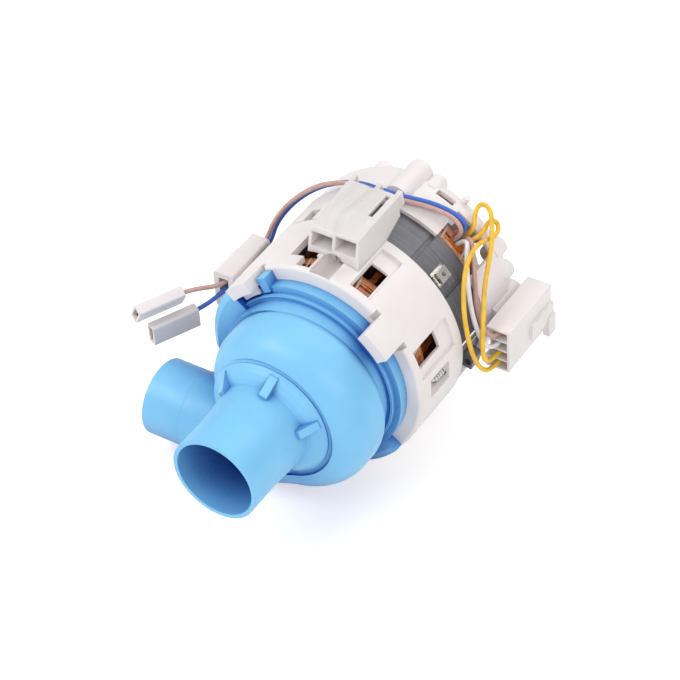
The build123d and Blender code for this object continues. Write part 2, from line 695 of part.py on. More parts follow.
def make_winding():
    """Slot bars with the plain cores of both coil heads."""
    parts = []
    f0, f1 = coil_span(True)
    r0, r1 = coil_span(False)
    heads = tube(COIL_OUTER_R, COIL_INNER_R, f0, f1) + tube(COIL_OUTER_R, COIL_INNER_R, r0, r1)
    bar_w = SLOT_WIDTH - 0.6
    for i in range(SLOT_COUNT):
        bar = slab(SLOT_INNER_R + 0.6, SLOT_OUTER_R - 0.5, f1 - 0.5, r0 + 0.5, -bar_w / 2, bar_w / 2)
        parts.append(radial((i + 0.5) * 360 / SLOT_COUNT, bar))
    winding = heads + parts
    for y0 in (f0, r0):
        for y, turn in loop_ends(y0):
            winding += stub_block(y, turn)
    half = 1.5 * SPLICE_PITCH + 0.4
    winding += radial(SPLICE_ANGLE, slab(COIL_OUTER_R - 2, SPLICE_R, SPLICE_Y - half, SPLICE_Y + half, -half, half))
    return one(winding)


LOOP_START = -120


def loop_ends(y0):
    """Height and angle of a loop's two ends."""
    first = y0 + WIRE_R + 0.15
    return ((first, LOOP_START), (first + COIL_TURNS * WIRE_PITCH, LOOP_START))


def stub_block(y, angle):
    """Tie on the coil head that a loop's end meets square."""
    return radial(angle, slab(COIL_OUTER_R - 1, LOOP_R + WIRE_R, y - WIRE_R, y + WIRE_R, -1.2, 1.2))


def biarc(p0, t0, p1, t1):
    """Two tangent arcs from p0 to p1 that leave along t0 and arrive along t1."""
    chord = p1 - p0
    a = 2 * (1 - t0.dot(t1))
    b = 2 * chord.dot(t0 + t1)
    c = -chord.dot(chord)
    if abs(a) < 1e-9:
        d = -c / b
    else:
        d = (-b + sqrt(b * b - 4 * a * c)) / (2 * a)
    joint = (p0 + t0 * d + p1 - t1 * d) * 0.5
    return [TangentArc(p0, joint, tangent=t0), TangentArc(joint, p1, tangent=(p1 - t1 * d) - joint)]


def helix_point(t, y0, lead_angle):
    """Point and direction on the loops at t turns."""
    a = radians(LOOP_START + lead_angle + t * 360)
    slope = WIRE_PITCH / (2 * pi * LOOP_R)
    point = Vector(LOOP_R * cos(a), y0 + t * WIRE_PITCH, LOOP_R * sin(a))
    way = Vector(-sin(a), slope, cos(a)).normalized()
    return point, way


def make_loops(front):
    """Outer layer of a coil head as one unbroken tube, wound round its core."""
    first = coil_span(front)[0] + WIRE_R + 0.15
    lead = degrees(2 * 2 * WIRE_R / LOOP_R)
    edges = []
    steps = COIL_TURNS * 4
    turns = COIL_TURNS - 2 * lead / 360
    marks = [i / steps * turns for i in range(steps + 1)]
    p, t = helix_point(0, first, lead)
    start = p - t * 2 * WIRE_R
    edges.append(Line(start, p))
    for a, b in zip(marks, marks[1:]):
        p0, t0 = helix_point(a, first, lead)
        p1, t1 = helix_point(b, first, lead)
        edges += biarc(p0, t0, p1, t1)
    p, t = helix_point(turns, first, lead)
    edges.append(Line(p, p + t * 2 * WIRE_R))
    path = Wire(edges)
    section = Plane(origin=start, z_dir=edges[0] % 0) * Circle(WIRE_R)
    return one(sweep(section, path=path))


def report_loops():
    gap = WIRE_PITCH * cos(atan2(WIRE_PITCH, 2 * pi * LOOP_R)) - 2 * WIRE_R
    print(f"winding loops: {COIL_TURNS} turns a head, least gap to themselves {gap:.2f} mm")


# Screws

def screw():
    """Long thread-forming screw, head at the rear."""
    thread_end = SCREW_TIP + SCREW_THREAD_LENGTH
    root = SCREW_R - SCREW_THREAD_DEPTH
    points = [(0, SCREW_TIP - 1.6), (root * 0.6, SCREW_TIP)]
    y = SCREW_TIP
    while y < thread_end - SCREW_PITCH:
        points += [(root, y + 0.25 * SCREW_PITCH), (SCREW_R, y + 0.55 * SCREW_PITCH), (root, y + 0.85 * SCREW_PITCH)]
        y += SCREW_PITCH
    points += [(SCREW_R - 0.1, thread_end), (SCREW_R - 0.1, SCREW_SEAT), (SCREW_HEAD_R, SCREW_SEAT),
               (SCREW_HEAD_R, SCREW_SEAT + SCREW_HEAD_HEIGHT * 0.6),
               (SCREW_HEAD_R * 0.72, SCREW_SEAT + SCREW_HEAD_HEIGHT), (0, SCREW_SEAT + SCREW_HEAD_HEIGHT)]
    body = turned(points)
    top = SCREW_SEAT + SCREW_HEAD_HEIGHT
    for turn in (0, 90):
        body -= Rot(0, turn, 0) * slab(-2.1, 2.1, top - 1.5, top + 1, -0.45, 0.45)
    return one(body)


def make_screws():
    shape = screw()
    return [radial(a, Pos(SCREW_CIRCLE_R, 0, 0) * shape) for a in SCREW_ANGLES]


# Front bracket

def hook(angle, half, reach):
    """Hook over the volute's flange."""
    front = BRACKET_FRONT - reach
    lip_rear = RING_REAR - FIT
    body = sector(HOOK_INNER_R, BRACKET_R - 0.03, angle - half, angle + half, front, BRACKET_FRONT + 2.7)
    lip = sector(HOOK_LIP_R, HOOK_INNER_R + 1, angle - half + 1, angle + half - 1, lip_rear - HOOK_LIP, lip_rear)
    return body + lip


def front_window(a0, a1, y0, y1):
    return sector(BRACKET_BORE_R - 6, BRACKET_R + 3, a0, a1, y0, y1)


def front_pocket(a0, a1, y0, y1, depth):
    return sector(BRACKET_R - depth, BRACKET_R + 3, a0, a1, y0, y1)


def feet(y0, radius):
    """Two low ribs that the bracket rests on."""
    out = []
    for x in (-FOOT_SPREAD, FOOT_SPREAD):
        top = -sqrt(radius ** 2 - (abs(x) + FOOT_WIDTH / 2) ** 2) + 1.5
        out.append(slab(x - FOOT_WIDTH / 2, x + FOOT_WIDTH / 2, y0, y0 + FOOT_LENGTH, FLOOR_Z, top))
    return out


def make_front_bracket():
    wall_rear = BRACKET_FRONT + FRONT_WALL
    outside = rod(BRACKET_R, BRACKET_FRONT, BRACKET_REAR)
    outside = fillet(outside.edges().filter_by(GeomType.CIRCLE).sort_by(Axis.Y)[0], 1.6)
    body = outside - rod(BRACKET_BORE_R, wall_rear, BRACKET_REAR + 1)
    for a in SCREW_ANGLES:
        post = radial(a, rod(POST_R, wall_rear - 1, STATOR_FRONT - FIT, x=SCREW_CIRCLE_R))
        body += post & outside
    body += rod(HUB_R, BRACKET_FRONT, front_bush_rear() + FELT_LENGTH)
    body += feet(BRACKET_REAR - FOOT_LENGTH - 3, BRACKET_R)
    for a, half, reach in HOOKS:
        body += hook(a, half, reach)
    rail_z = BOX_LOW + BOX_HEIGHT * 0.62
    body += slab(BOX_LEFT + BOX_THICKNESS + FIT, -BRACKET_R + 3, BOX_FRONT + 4, BRACKET_REAR - 1,
                 rail_z - 1.6, rail_z + 1.6)

    cuts = []
    for x0, y0 in tower_legs():
        cuts.append(slab(x0 - FIT, x0 + TOWER_LEG + FIT, y0 - FIT, y0 + 2 * TOWER_LEG + FIT,
                         leg_foot(x0) - 0.3, BRACKET_R + 2))
    for a in SCREW_ANGLES:
        hole = rod(SCREW_R + 0.15, SCREW_TIP - 4, BRACKET_REAR + 1, x=SCREW_CIRCLE_R)
        cuts.append(radial(a, hole))
    top_angle, side_angle = SCREW_ANGLES[0], SCREW_ANGLES[1]
    cuts.append(radial(top_angle, rod(CHANNEL_R, BRACKET_FRONT + 0.6, BRACKET_FRONT + CHANNEL_LENGTH,
                                      x=BRACKET_R - 1.2)))
    cuts.append(sector(SCREW_CIRCLE_R, BRACKET_R + 2, side_angle - 2.5, side_angle + 8.5,
                       BRACKET_FRONT + 8, BRACKET_FRONT + 22))
    cuts.append(front_window(61.5, 71.5, BRACKET_FRONT + 3.4, BRACKET_FRONT + 20))
    cuts.append(front_pocket(60, 72, BRACKET_FRONT + 3.4, BRACKET_FRONT + 28, 1.4))
    cuts.append(front_window(15.5, 25.5, BRACKET_FRONT + 3.4, BRACKET_FRONT + 20))
    cuts.append(front_pocket(10, 26.5, BRACKET_FRONT + 3.4, BRACKET_FRONT + 28, 1.4))
    cuts.append(front_window(94, 101.5, BRACKET_FRONT + 2.2, BRACKET_FRONT + 10))
    cuts.append(front_pocket(95.5, 109.5, BRACKET_FRONT + 8, BRACKET_FRONT + 23, 3.4))
    for a in (-48, -72, -110, -155, 152):
        cuts.append(front_window(a - 5, a + 5, BRACKET_FRONT + 4, BRACKET_FRONT + 20))
    for a, half, _ in HOOKS:
        for side in (-1, 1):
            middle = a + side * (half + 1.6)
            cuts.append(sector(FLANGE_R + 1.2, BRACKET_R + 1, middle - 1.5, middle + 1.5,
                               BRACKET_FRONT - 1, BRACKET_FRONT + 2.2))
    cuts.append(coil_room(True))
    cuts.append(rod(SHAFT_R + 1.2, BRACKET_FRONT - 1, FRONT_BUSH_FRONT + 2))
    cuts.append(Pos(0, FRONT_BUSH_FRONT + BUSH_LENGTH / 2, 0) * Sphere(BUSH_R + FIT / 2))
    cuts.append(rod(BUSH_R + FIT / 2, FRONT_BUSH_FRONT + BUSH_LENGTH / 2, front_bush_rear() + 9))
    cuts.append(rod(FELT_R + FIT / 2, front_bush_rear() - FELT_LENGTH + 0.4, front_bush_rear() + 9))
    return one(body - cuts)


# Rear bracket

def lug(angle, circle_r, radius, y0, y1, edge_round):
    """Boss along the rear bracket's rim with a rounded rear edge."""
    shape = rod(radius, y0, y1, x=circle_r)
    shape = fillet(shape.edges().filter_by(GeomType.CIRCLE).sort_by(Axis.Y)[-1], edge_round)
    return radial(angle, shape)


def make_rear_bracket():
    profile = [
        (0, REAR_FRONT), (REAR_BRACKET_R, REAR_FRONT), (REAR_BRACKET_R, REAR_END - REAR_ROUND - 2.0),
        (REAR_BRACKET_R - REAR_ROUND * 0.35, REAR_END - REAR_ROUND * 0.5), (REAR_BRACKET_R - REAR_ROUND, REAR_END),
        (0, REAR_END),
    ]
    outside = turned(profile)
    hollow = turned([
        (0, REAR_FRONT - 1), (BRACKET_BORE_R, REAR_FRONT - 1), (BRACKET_BORE_R, REAR_END - REAR_ROUND - 3.0),
        (REAR_BRACKET_R - REAR_ROUND, REAR_END - REAR_WALL), (0, REAR_END - REAR_WALL),
    ])
    body = outside - hollow
    bosses = []
    for a in SCREW_ANGLES:
        bosses.append(lug(a, SCREW_CIRCLE_R + 0.6, TUBE_R, STATOR_REAR + BOSS_BACK, REAR_END - 0.15, 1.6))
    for a, inset, size in REAR_LUGS:
        bosses.append(lug(a, REAR_BRACKET_R - inset, size, REAR_END - REAR_LUG_DEPTH, REAR_END - 0.3, 1.4))
    for boss in bosses:
        body += boss
    body += rod(HUB_R, rear_bush_front() - FELT_LENGTH, REAR_END - 0.5)
    for a in REAR_LEGS:
        body += sector(STATOR_R + 0.3, BRACKET_R, a, a + LEG_SPAN, BRACKET_REAR + 0.5, REAR_FRONT + 2.5)
    body += radial(PEG_ANGLE, Pos(REAR_BRACKET_R - 3, REAR_END - 3.4, 0) * Rot(0, 90, 0) * Cylinder(1.5, 9))
    body += feet(REAR_END - FOOT_LENGTH - 4, REAR_BRACKET_R)
    rail_z = CONNECTOR_MIDDLE_Z + 2.0
    body += slab(REAR_BRACKET_R - 3, CONNECTOR_LEFT - FIT, CONNECTOR_FRONT + 14, REAR_END - 4.3,
                 rail_z - 2.2, rail_z + 2.2)

    cuts = [coil_room(False)]
    for a in SCREW_ANGLES:
        cuts.append(radial(a, rod(SCREW_R + 0.15, REAR_FRONT - 1, REAR_END, x=SCREW_CIRCLE_R)))
        cuts.append(radial(a, rod(SCREW_HEAD_R + 0.2, SCREW_SEAT, REAR_END + 1, x=SCREW_CIRCLE_R)))
    cuts.append(sector(BRACKET_BORE_R - 8, BRACKET_R + 4, 29, 57, REAR_FRONT - 2, REAR_END - 11))
    cuts.append(sector(BRACKET_BORE_R - 6, BRACKET_R + 4, 61, 71.5, REAR_END - 11, REAR_END - 8))
    cuts.append(sector(STATOR_R, BRACKET_R + 2, 118, 124.5, BRACKET_REAR, BRACKET_REAR + 8))
    for i in range(8):
        a = i * 45 + 19.5
        cuts.append(sector(HUB_R + 3.5, 26, a - 14, a + 14, REAR_END - REAR_WALL - 1, REAR_END + 1))
        cuts.append(sector(28, 37.5, a - 12, a + 12, REAR_END - REAR_WALL - 1, REAR_END + 1))
    cuts.append(Pos(0, REAR_BUSH_REAR - BUSH_LENGTH / 2, 0) * Sphere(BUSH_R + FIT / 2))
    cuts.append(rod(BUSH_R + FIT / 2, rear_bush_front() - 9, REAR_BUSH_REAR - BUSH_LENGTH / 2))
    cuts.append(rod(FELT_R + FIT / 2, rear_bush_front() - 9, rear_bush_front() + FELT_LENGTH - 0.4))
    cuts.append(rod(SHAFT_R + 1.2, REAR_BUSH_REAR - 2, SHAFT_REAR + 0.6))
    return one(body - cuts)


# Wire tower

def tower_section(y, rise, valley_x, spread=0, inset=0):
    """Cross-section of the tower with its two humps."""
    left = TOWER_LEFT - spread + inset
    right = TOWER_RIGHT - inset
    middle = TOWER_MIDDLE + valley_x
    eaves = BRACKET_R + TOWER_EAVES + rise - inset
    crest = BRACKET_R + TOWER_CREST + rise - inset
    low = BRACKET_R - 5 - inset
    left_crest = crest - POCKET_RISE * 0.4
    corners = [
        (left, y, low), (left, y, eaves), (left + TOWER_CHAMFER, y, left_crest),
        (middle - 3.4, y, left_crest), (middle, y, crest - TOWER_VALLEY), (middle + 3.4, y, crest),
        (right - TOWER_CHAMFER, y, crest), (right, y, crest - TOWER_CHAMFER * 0.5), (right + TOWER_FLARE, y, low),
    ]
    return make_face(Polyline(corners, close=True))


def tower_shape(inset, front, rear):
    """Body of the tower over its whole length, its valley swinging left in the middle."""
    reach = BRACKET_REAR - TOWER_FRONT
    stations = [
        tower_section(front, -TOWER_RISE * 0.2, -0.2, 0, inset),
        tower_section(TOWER_FRONT + reach * 0.6, TOWER_RISE * 0.8, -4.8, 0.3, inset),
        tower_section(rear, TOWER_RISE, -2.4, 1.6, inset),
    ]
    return loft(stations[:2], ruled=True) + loft(stations[1:], ruled=True)


def tower_legs():
    """Low left corners of the two legs that clip into the front bracket."""
    y = TOWER_FRONT + POCKET_DEPTH
    return ((TOWER_LEFT + 3, y), (TOWER_RIGHT - TOWER_LEG - 2, y))


def leg_foot(x):
    """Height of the foot of the leg whose low corner is at x."""
    far = max(abs(x), abs(x + TOWER_LEG))
    return sqrt(BRACKET_R ** 2 - far ** 2) - TOWER_LEG_DROP


def make_tower():
    """Natural nylon holder with two terminal pockets, a roof of two humps and three fins over the wires."""
    y0 = TOWER_FRONT
    y1 = TOWER_REAR
    body = tower_shape(0, y0, y1)
    crest = BRACKET_R + TOWER_CREST
    for x0, tip in ((TOWER_LEFT - 0.4, 1.4), (TOWER_MIDDLE - 0.9, 0.8), (TOWER_RIGHT - FIN_THICKNESS, 0.8)):
        fin = make_face(Polyline([
            (x0, y1 - 12, crest - FIN_LOW), (x0, y1 - 12, crest - 2.5), (x0, y1 - 1, crest + FIN_TIP - 0.6),
            (x0, y1 + FIN_REACH, crest + tip), (x0, y1 + FIN_REACH + 1.2, crest - FIN_LOW),
        ], close=True))
        body += extrude(fin, amount=FIN_THICKNESS, dir=(1, 0, 0))
    seat = rod(BRACKET_R + SEAT_GAP, y0 - 5, y1 + 12)
    cuts = [seat]
    lean = make_face(Polyline([
        (TOWER_LEFT - 5, y0 - 1, BRACKET_R - 6), (TOWER_LEFT - 5, y0, BRACKET_R - 2),
        (TOWER_LEFT - 5, y0 + TOWER_LEAN, crest + 4), (TOWER_LEFT - 5, y0 - 1, crest + 4),
    ], close=True))
    cuts.append(extrude(lean, amount=TOWER_RIGHT - TOWER_LEFT + 10, dir=(1, 0, 0)))
    under = make_face(Polyline([
        (TOWER_LEFT - 5, BRACKET_REAR, BRACKET_R - 8), (TOWER_LEFT - 5, BRACKET_REAR, BRACKET_R - 1.8),
        (TOWER_LEFT - 5, y1, BRACKET_R - 1.8 + TOWER_UNDERCUT),
        (TOWER_LEFT - 5, y1 + 12, BRACKET_R - 1.8 + TOWER_UNDERCUT), (TOWER_LEFT - 5, y1 + 12, BRACKET_R - 8),
    ], close=True))
    cuts.append(extrude(under, amount=TOWER_RIGHT - TOWER_LEFT + 10, dir=(1, 0, 0)))
    for x0, z0 in pocket_corners():
        cuts.append(slab(x0, x0 + POCKET_WIDTH, y0 - 1, y0 + POCKET_DEPTH, z0, z0 + POCKET_HEIGHT))
    cuts.append(rod(ARCH_R, y0 - 1, y0 + ARCH_DEPTH, x=TOWER_MIDDLE,
                    z=SCREW_CIRCLE_R * sin(radians(SCREW_ANGLES[0]))))
    cuts.append(tower_shape(TOWER_SKIN, y0 + POCKET_DEPTH + TOWER_SKIN, y1 + 0.01)
                & slab(TOWER_LEFT - 5, TOWER_RIGHT + 5, y0 + POCKET_DEPTH + TOWER_SKIN, y1 + 1, 0, 2 * BRACKET_R))
    slot_right = TOWER_RIGHT - FIN_THICKNESS - 0.2
    cuts.append(slab(slot_right - ROOF_SLOT_WIDTH, slot_right, y1 - 2 - ROOF_SLOT_LENGTH, y1 - 2,
                     crest - 5, crest + 5))
    body = body - cuts
    for x0, y_leg in tower_legs():
        body += slab(x0, x0 + TOWER_LEG, y_leg, y_leg + 2 * TOWER_LEG, leg_foot(x0), BRACKET_R + 1.5)
    return one(body)


def pocket_corners():
    """Low left corners of the two terminal pockets."""
    first = TOWER_LEFT + POCKET_WALL
    z = BRACKET_R + POCKET_FLOOR
    return ((first, z - POCKET_RISE), (first + POCKET_WIDTH + POCKET_WALL, z))


# Supply connector

def connector_low():
    return CONNECTOR_MIDDLE_Z - CONNECTOR_HEIGHT / 2


def cell_middle(i):
    """Height of the middle of cell i, counted from the top."""
    return connector_low() + CONNECTOR_HEIGHT - CONNECTOR_WALL / 2 - CONNECTOR_PITCH * (i + 0.5)


def make_connector():
    x0, y0, z0 = CONNECTOR_LEFT, CONNECTOR_FRONT, connector_low()
    x1, y1, z1 = x0 + CONNECTOR_THICKNESS, y0 + CONNECTOR_LENGTH, z0 + CONNECTOR_HEIGHT
    body = slab(x0, x1, y0, y1, z0, z1)
    body = fillet(body.edges().filter_by(Axis.Y), 0.7)
    body += slab(x1 - 0.5, x1 + 1.4, y0 + 17, y1, z0 + 4.5, z0 + 12.5)
    body += slab(x1 - 0.5, x1 + 2.4, y1 - 5.5, y1, z0 - 2.6, z0 + 7)
    cuts = []
    for i in range(CONNECTOR_WAYS):
        z = cell_middle(i)
        half = (CONNECTOR_PITCH - CONNECTOR_WALL) / 2 + 0.15
        cuts.append(slab(x0 + CONNECTOR_WALL, x1 - CONNECTOR_WALL, y0 - 1, y0 + CELL_DEPTH, z - half, z + half))
        cuts.append(slab(x0 + 2, x1 - 2, y0 + CELL_DEPTH - 1, y1 - 1, z - BLADE_SHEET / 2 - FIT,
                         z + BLADE_SHEET / 2 + FIT))
    cuts.append(slab(x0 + CONNECTOR_WALL, x1 - CONNECTOR_WALL, y1 - SOCKET_DEPTH, y1 + 1, z0 + CONNECTOR_WALL,
                     z1 - CONNECTOR_WALL))
    cuts.append(slab(x0 - 1, x0 + CONNECTOR_WALL + 1, y0 - 1, y0 + 4, z0 + CONNECTOR_PITCH + 1, z1 - 1))
    return one(body - cuts)


def make_connector_terminals():
    """Flat blades, one for each way, with the crimp that holds its wire."""
    out = []
    xm = CONNECTOR_LEFT + CONNECTOR_THICKNESS / 2
    for i in range(CONNECTOR_WAYS):
        z = cell_middle(i)
        y1 = CONNECTOR_FRONT + CONNECTOR_LENGTH - SOCKET_DEPTH + 4.5
        blade_body = slab(xm - BLADE_WIDTH / 2, xm + BLADE_WIDTH / 2, CONNECTOR_FRONT + CELL_DEPTH - 3, y1,
                          z - BLADE_SHEET / 2, z + BLADE_SHEET / 2)
        crimp = rod(1.35, crimp_face(), CONNECTOR_FRONT + CELL_DEPTH - 2, x=xm, z=z)
        out.append(one(blade_body + crimp))
    return out


def crimp_face():
    """Front face of the crimps, where the supply leads end."""
    return CONNECTOR_FRONT + CELL_DEPTH - 6


# Lead box and receptacles

def make_lead_box():
    x0, y0, z0 = BOX_LEFT, BOX_FRONT, BOX_LOW
    x1, y1, z1 = x0 + BOX_THICKNESS, y0 + BOX_LENGTH, z0 + BOX_HEIGHT
    body = slab(x0, x1, y0, y1, z0, z1)
    body = fillet(body.edges().filter_by(Axis.Y), 1.6)
    body -= slab(x0 - 1, x0 + 1.3, y0 + 17, y1 + 1, z0 - 1, z1 + 1)
    for z in box_lead_heights():
        body -= rod(LEAD_D / 2 + 0.2, y0 - 1, y1 + 1, x=box_lead_x(), z=z)
    high, low = box_lead_heights()
    half = LEAD_D / 2 + 1.3
    body -= slab(box_lead_x() - half - 0.5, box_lead_x() + half - 0.5, y0 - 1, y0 + 4.5, low - half, high + half)
    body -= slab(box_lead_x() - 1.7, box_lead_x() + 1.7, y1 - 3.5, y1 + 1, low - 1.5, high + 2)
    return one(body)


def box_lead_x():
    return BOX_LEFT + BOX_THICKNESS / 2 + 0.5


def box_lead_heights():
    """Heights of the brown and the blue lead in the lead box."""
    brown = BOX_LOW + BOX_HEIGHT - 5.0
    return (brown, brown - 3.4)


def receptacle_frame(tip, yaw, roll):
    """Place of a receptacle: its rear face's middle, its yaw from -Y towards -X, and its roll."""
    return Pos(*tip) * Rot(0, 0, -yaw) * Rot(0, roll, 0)


def receptacle_cover():
    """Nylon cover along -Y from its rear face, flat sides upright, with a slot mouth."""
    length = RECEPTACLE_LENGTH
    body = Pos(0, -length / 2, 0) * Box(RECEPTACLE_THICKNESS, length, RECEPTACLE_HEIGHT)
    body = fillet(body.edges().filter_by(Axis.Y), 1.1)
    hollow = Pos(0, -length / 2 - 2.5, 0) * Box(
        RECEPTACLE_THICKNESS - 2 * RECEPTACLE_WALL, length, RECEPTACLE_HEIGHT - 2 * RECEPTACLE_WALL)
    body -= hollow
    body -= rod(LEAD_D / 2 + 0.15, -6, 1, z=receptacle_lead_height())
    return one(body)


def receptacle_lead_height():
    return RECEPTACLE_HEIGHT / 2 - 2.6


def receptacle_terminal():
    """Flat receptacle with rolled edges and the crimp behind it."""
    width = TAB_WIDTH + 1.4
    front = -RECEPTACLE_LENGTH + 1.2
    strip = Pos(-0.9, front + 5, 0) * Box(0.5, 10, width)
    for side in (-1, 1):
        strip += Pos(-0.2, front + 4.5, side * (width / 2 - 0.4)) * Box(1.9, 8.5, 0.5)
        strip += Pos(0.5, front + 4.5, side * (width / 2 - 1.2)) * Box(0.5, 8.5, 2.0)
    neck = Pos(-0.9, front + 12, receptacle_lead_height() / 2) * Box(0.5, 6, 4.2)
    crimp = rod(1.3, front + 12.5, -4.5, z=receptacle_lead_height())
    return one(strip + neck + crimp)


BROWN_REAR = (-71.0, 80.6, 3.2)
BROWN_YAW = 26
BROWN_ROLL = 32
BLUE_REAR = (-66.2, 83.4, -8.0)
BLUE_YAW = 26
BLUE_ROLL = 0


def receptacle_places():
    return (("brown", receptacle_frame(BROWN_REAR, BROWN_YAW, BROWN_ROLL)),
            ("blue", receptacle_frame(BLUE_REAR, BLUE_YAW, BLUE_ROLL)))


# Leads

def lead(name, points, diameter=LEAD_D):
    """Round lead along straight runs joined by tangent arcs, each as large as its runs allow."""
    pts = [Vector(*p) for p in points]
    radii = []
    for a, b, c in zip(pts, pts[1:], pts[2:]):
        turn = (b - a).get_angle(c - b)
        radii.append(0.45 * min((b - a).length, (c - b).length) / tan(radians(turn / 2)))
    path = FilletPolyline(*pts, radius=radii)
    section = Plane(origin=pts[0], z_dir=pts[1] - pts[0]) * Circle(diameter / 2)
    solid = one(sweep(section, path=path))
    length = path.length
    volume = pi * diameter ** 2 / 4 * length
    print(f"{name}: length {length:.1f} mm, radii {[round(r, 1) for r in radii]}, volume ratio "
          f"{solid.volume / volume:.4f}")
    return solid


def lead_points():
    """Routes of the six leads, chosen by hand."""
    bx = box_lead_x()
    brown_z, blue_z = box_lead_heights()
    xm = CONNECTOR_LEFT + CONNECTOR_THICKNESS / 2
    cells = [cell_middle(i) for i in range(CONNECTOR_WAYS)]
    ends = {}
    for colour, place in receptacle_places():
        at_height = receptacle_lead_height()
        ends[colour] = [tuple((place * Pos(0, y, at_height)).position) for y in (3.0, -4.5)]
    blue = [
        splice_point(0, 1), splice_out(0, 1, 4.8), (31.8, 139.8, 38.4), (28.4, 139.6, 41.8), (22.2, 138.6, 44.2),
        (16.4, 137.0, 45.9), (11.4, 135.0, 47.1), (7.0, 133.2, 47.9), (1.6, 132.4, 48.3), (-5.0, 132.5, 48.2),
        (-11.8, 132.9, 47.6), (-19.0, 132.4, 46.2), (-26.6, 131.2, 43.2), (-34.0, 129.8, 38.6), (-41.0, 128.2, 32.2),
        (-47.2, 126.8, 24.4), (-52.6, 126.0, 15.0), (bx, 127.0, blue_z + 0.6), (bx + 0.1, 113.6, blue_z),
        (bx - 0.1, 102.0, blue_z + 0.1), (bx, 91.6, blue_z), *ends["blue"],
    ]
    brown = [
        splice_point(-1, 1), splice_out(-1, 1, 4.8), (31.2, 137.0, 38.8), (27.6, 137.1, 42.2), (21.4, 135.9, 44.5),
        (15.6, 134.0, 46.2), (10.4, 132.1, 47.3), (5.4, 130.4, 48.1), (-0.6, 129.9, 48.4), (-6.6, 130.3, 48.5),
        (-12.8, 130.3, 48.6), (-19.4, 129.6, 47.6), (-26.4, 128.6, 45.4), (-33.6, 127.2, 41.2),
        (-40.4, 125.6, 35.0), (-46.6, 124.2, 27.6), (-52.0, 123.0, 18.2), (bx, 124.0, brown_z + 0.4),
        (bx + 0.1, 112.6, brown_z), (bx - 0.1, 101.4, brown_z + 0.1), (bx, 90.5, brown_z), *ends["brown"],
    ]
    supply_brown = [
        splice_point(0, 0), splice_out(0, 0, 7.4), (38.6, 133.6, 29.2), (43.4, 126.4, 21.8), (46.8, 121.4, 14.6),
        (50.6, 119.0, 7.4), (54.4, 118.8, 4.0), (xm, 122.4, cells[0]), (xm, crimp_face(), cells[0]),
    ]
    supply_white = [
        splice_point(-1, 0), splice_out(-1, 0, 7.4), (37.4, 130.2, 30.8), (42.0, 123.0, 25.0), (46.4, 117.4, 18.0),
        (50.0, 115.4, 9.4), (54.0, 115.4, 1.0), (xm, 119.8, cells[1]), (xm, crimp_face(), cells[1]),
    ]
    supply_yellow_low = [
        splice_point(0, -1), splice_out(0, -1, 6.4), (37.4, 144.6, 33.2), (36.2, 150.4, 34.6), (38.6, 153.8, 32.4),
        (41.0, 150.0, 30.0), (40.2, 143.6, 31.0), (39.8, 137.2, 34.0), (40.4, 130.4, 35.2), (40.8, 124.2, 32.6),
        (43.2, 117.6, 26.8), (46.4, 112.0, 19.4), (49.4, 109.4, 10.2), (51.8, 109.0, 0.8), (54.6, 110.8, -7.6),
        (xm, 116.0, cells[3]), (xm, crimp_face(), cells[3]),
    ]
    supply_yellow_high = [
        splice_point(1, 0), splice_out(1, 0, 7.6), (32.0, 146.6, 40.2), (32.4, 151.8, 41.6), (36.4, 152.0, 39.0),
        (39.8, 147.0, 35.8), (43.0, 141.0, 31.8), (45.4, 134.0, 27.6), (47.8, 126.2, 21.8), (51.7, 118.4, 14.6),
        (54.6, 112.4, 5.2), (55.6, 111.6, -3.2), (xm, 116.8, cells[2]), (xm, crimp_face(), cells[2]),
    ]
    return {
        "lead_blue": blue,
        "lead_brown": brown,
        "supply_lead_brown": supply_brown,
        "supply_lead_white": supply_white,
        "supply_lead_yellow_low": supply_yellow_low,
        "supply_lead_yellow_high": supply_yellow_high,
    }


def make_leads():
    return {name: lead(name, points) for name, points in lead_points().items()}


# All nodes

def make_nodes():
    nodes = {
        "volute_housing": make_volute(),
        "volute_o_ring": make_o_ring(),
        "seal_back_plate": make_back_plate(),
        "impeller": make_impeller(),
        "seal_ceramic_seat": make_seat(),
        "seal_seat_cup": make_seat_cup(),
        "seal_carbon_ring": make_carbon_ring(),
        "seal_bellows": make_bellows(),
        "seal_spring": make_seal_spring(),
        "shaft": make_shaft(),
        "rotor_core": make_rotor_core(),
        "rotor_cage": make_rotor_cage(),
        "thrust_washers": Compound(make_washers()),
        "front_bush": make_bush(FRONT_BUSH_FRONT),
        "rear_bush": make_bush(rear_bush_front()),
        "front_oil_felt": make_felt(front_bush_rear() - FELT_LENGTH + 0.5),
        "rear_oil_felt": make_felt(rear_bush_front() - 0.5),
        "front_bush_retainer": make_retainer(front_bush_rear() + 0.6),
        "rear_bush_retainer": make_retainer(rear_bush_front() - 0.6 - RETAINER_THICKNESS),
        "front_bracket": make_front_bracket(),
        "rear_bracket": make_rear_bracket(),
        "stator_core": make_stator(),
        "stator_winding": make_winding(),
        "front_winding_loops": make_loops(True),
        "rear_winding_loops": make_loops(False),
        "bracket_screws": Compound(make_screws()),
        "earth_terminal": make_earth_terminal(),
        "wire_tower": make_tower(),
        "connector_housing": make_connector(),
        "connector_terminals": Compound(make_connector_terminals()),
        "lead_box": make_lead_box(),
    }
    for colour, place in receptacle_places():
        nodes[f"receptacle_cover_{colour}"] = place * receptacle_cover()
        nodes[f"receptacle_terminal_{colour}"] = place * receptacle_terminal()
    nodes.update(make_leads())
    return nodes


os.makedirs("parts", exist_ok=True)
report_loops()
for node_name, node_shape in make_nodes().items():
    export_step(node_shape, f"parts/{node_name}.step")
print("done")
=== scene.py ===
import math
import random

import bpy
from mathutils import Matrix, Vector


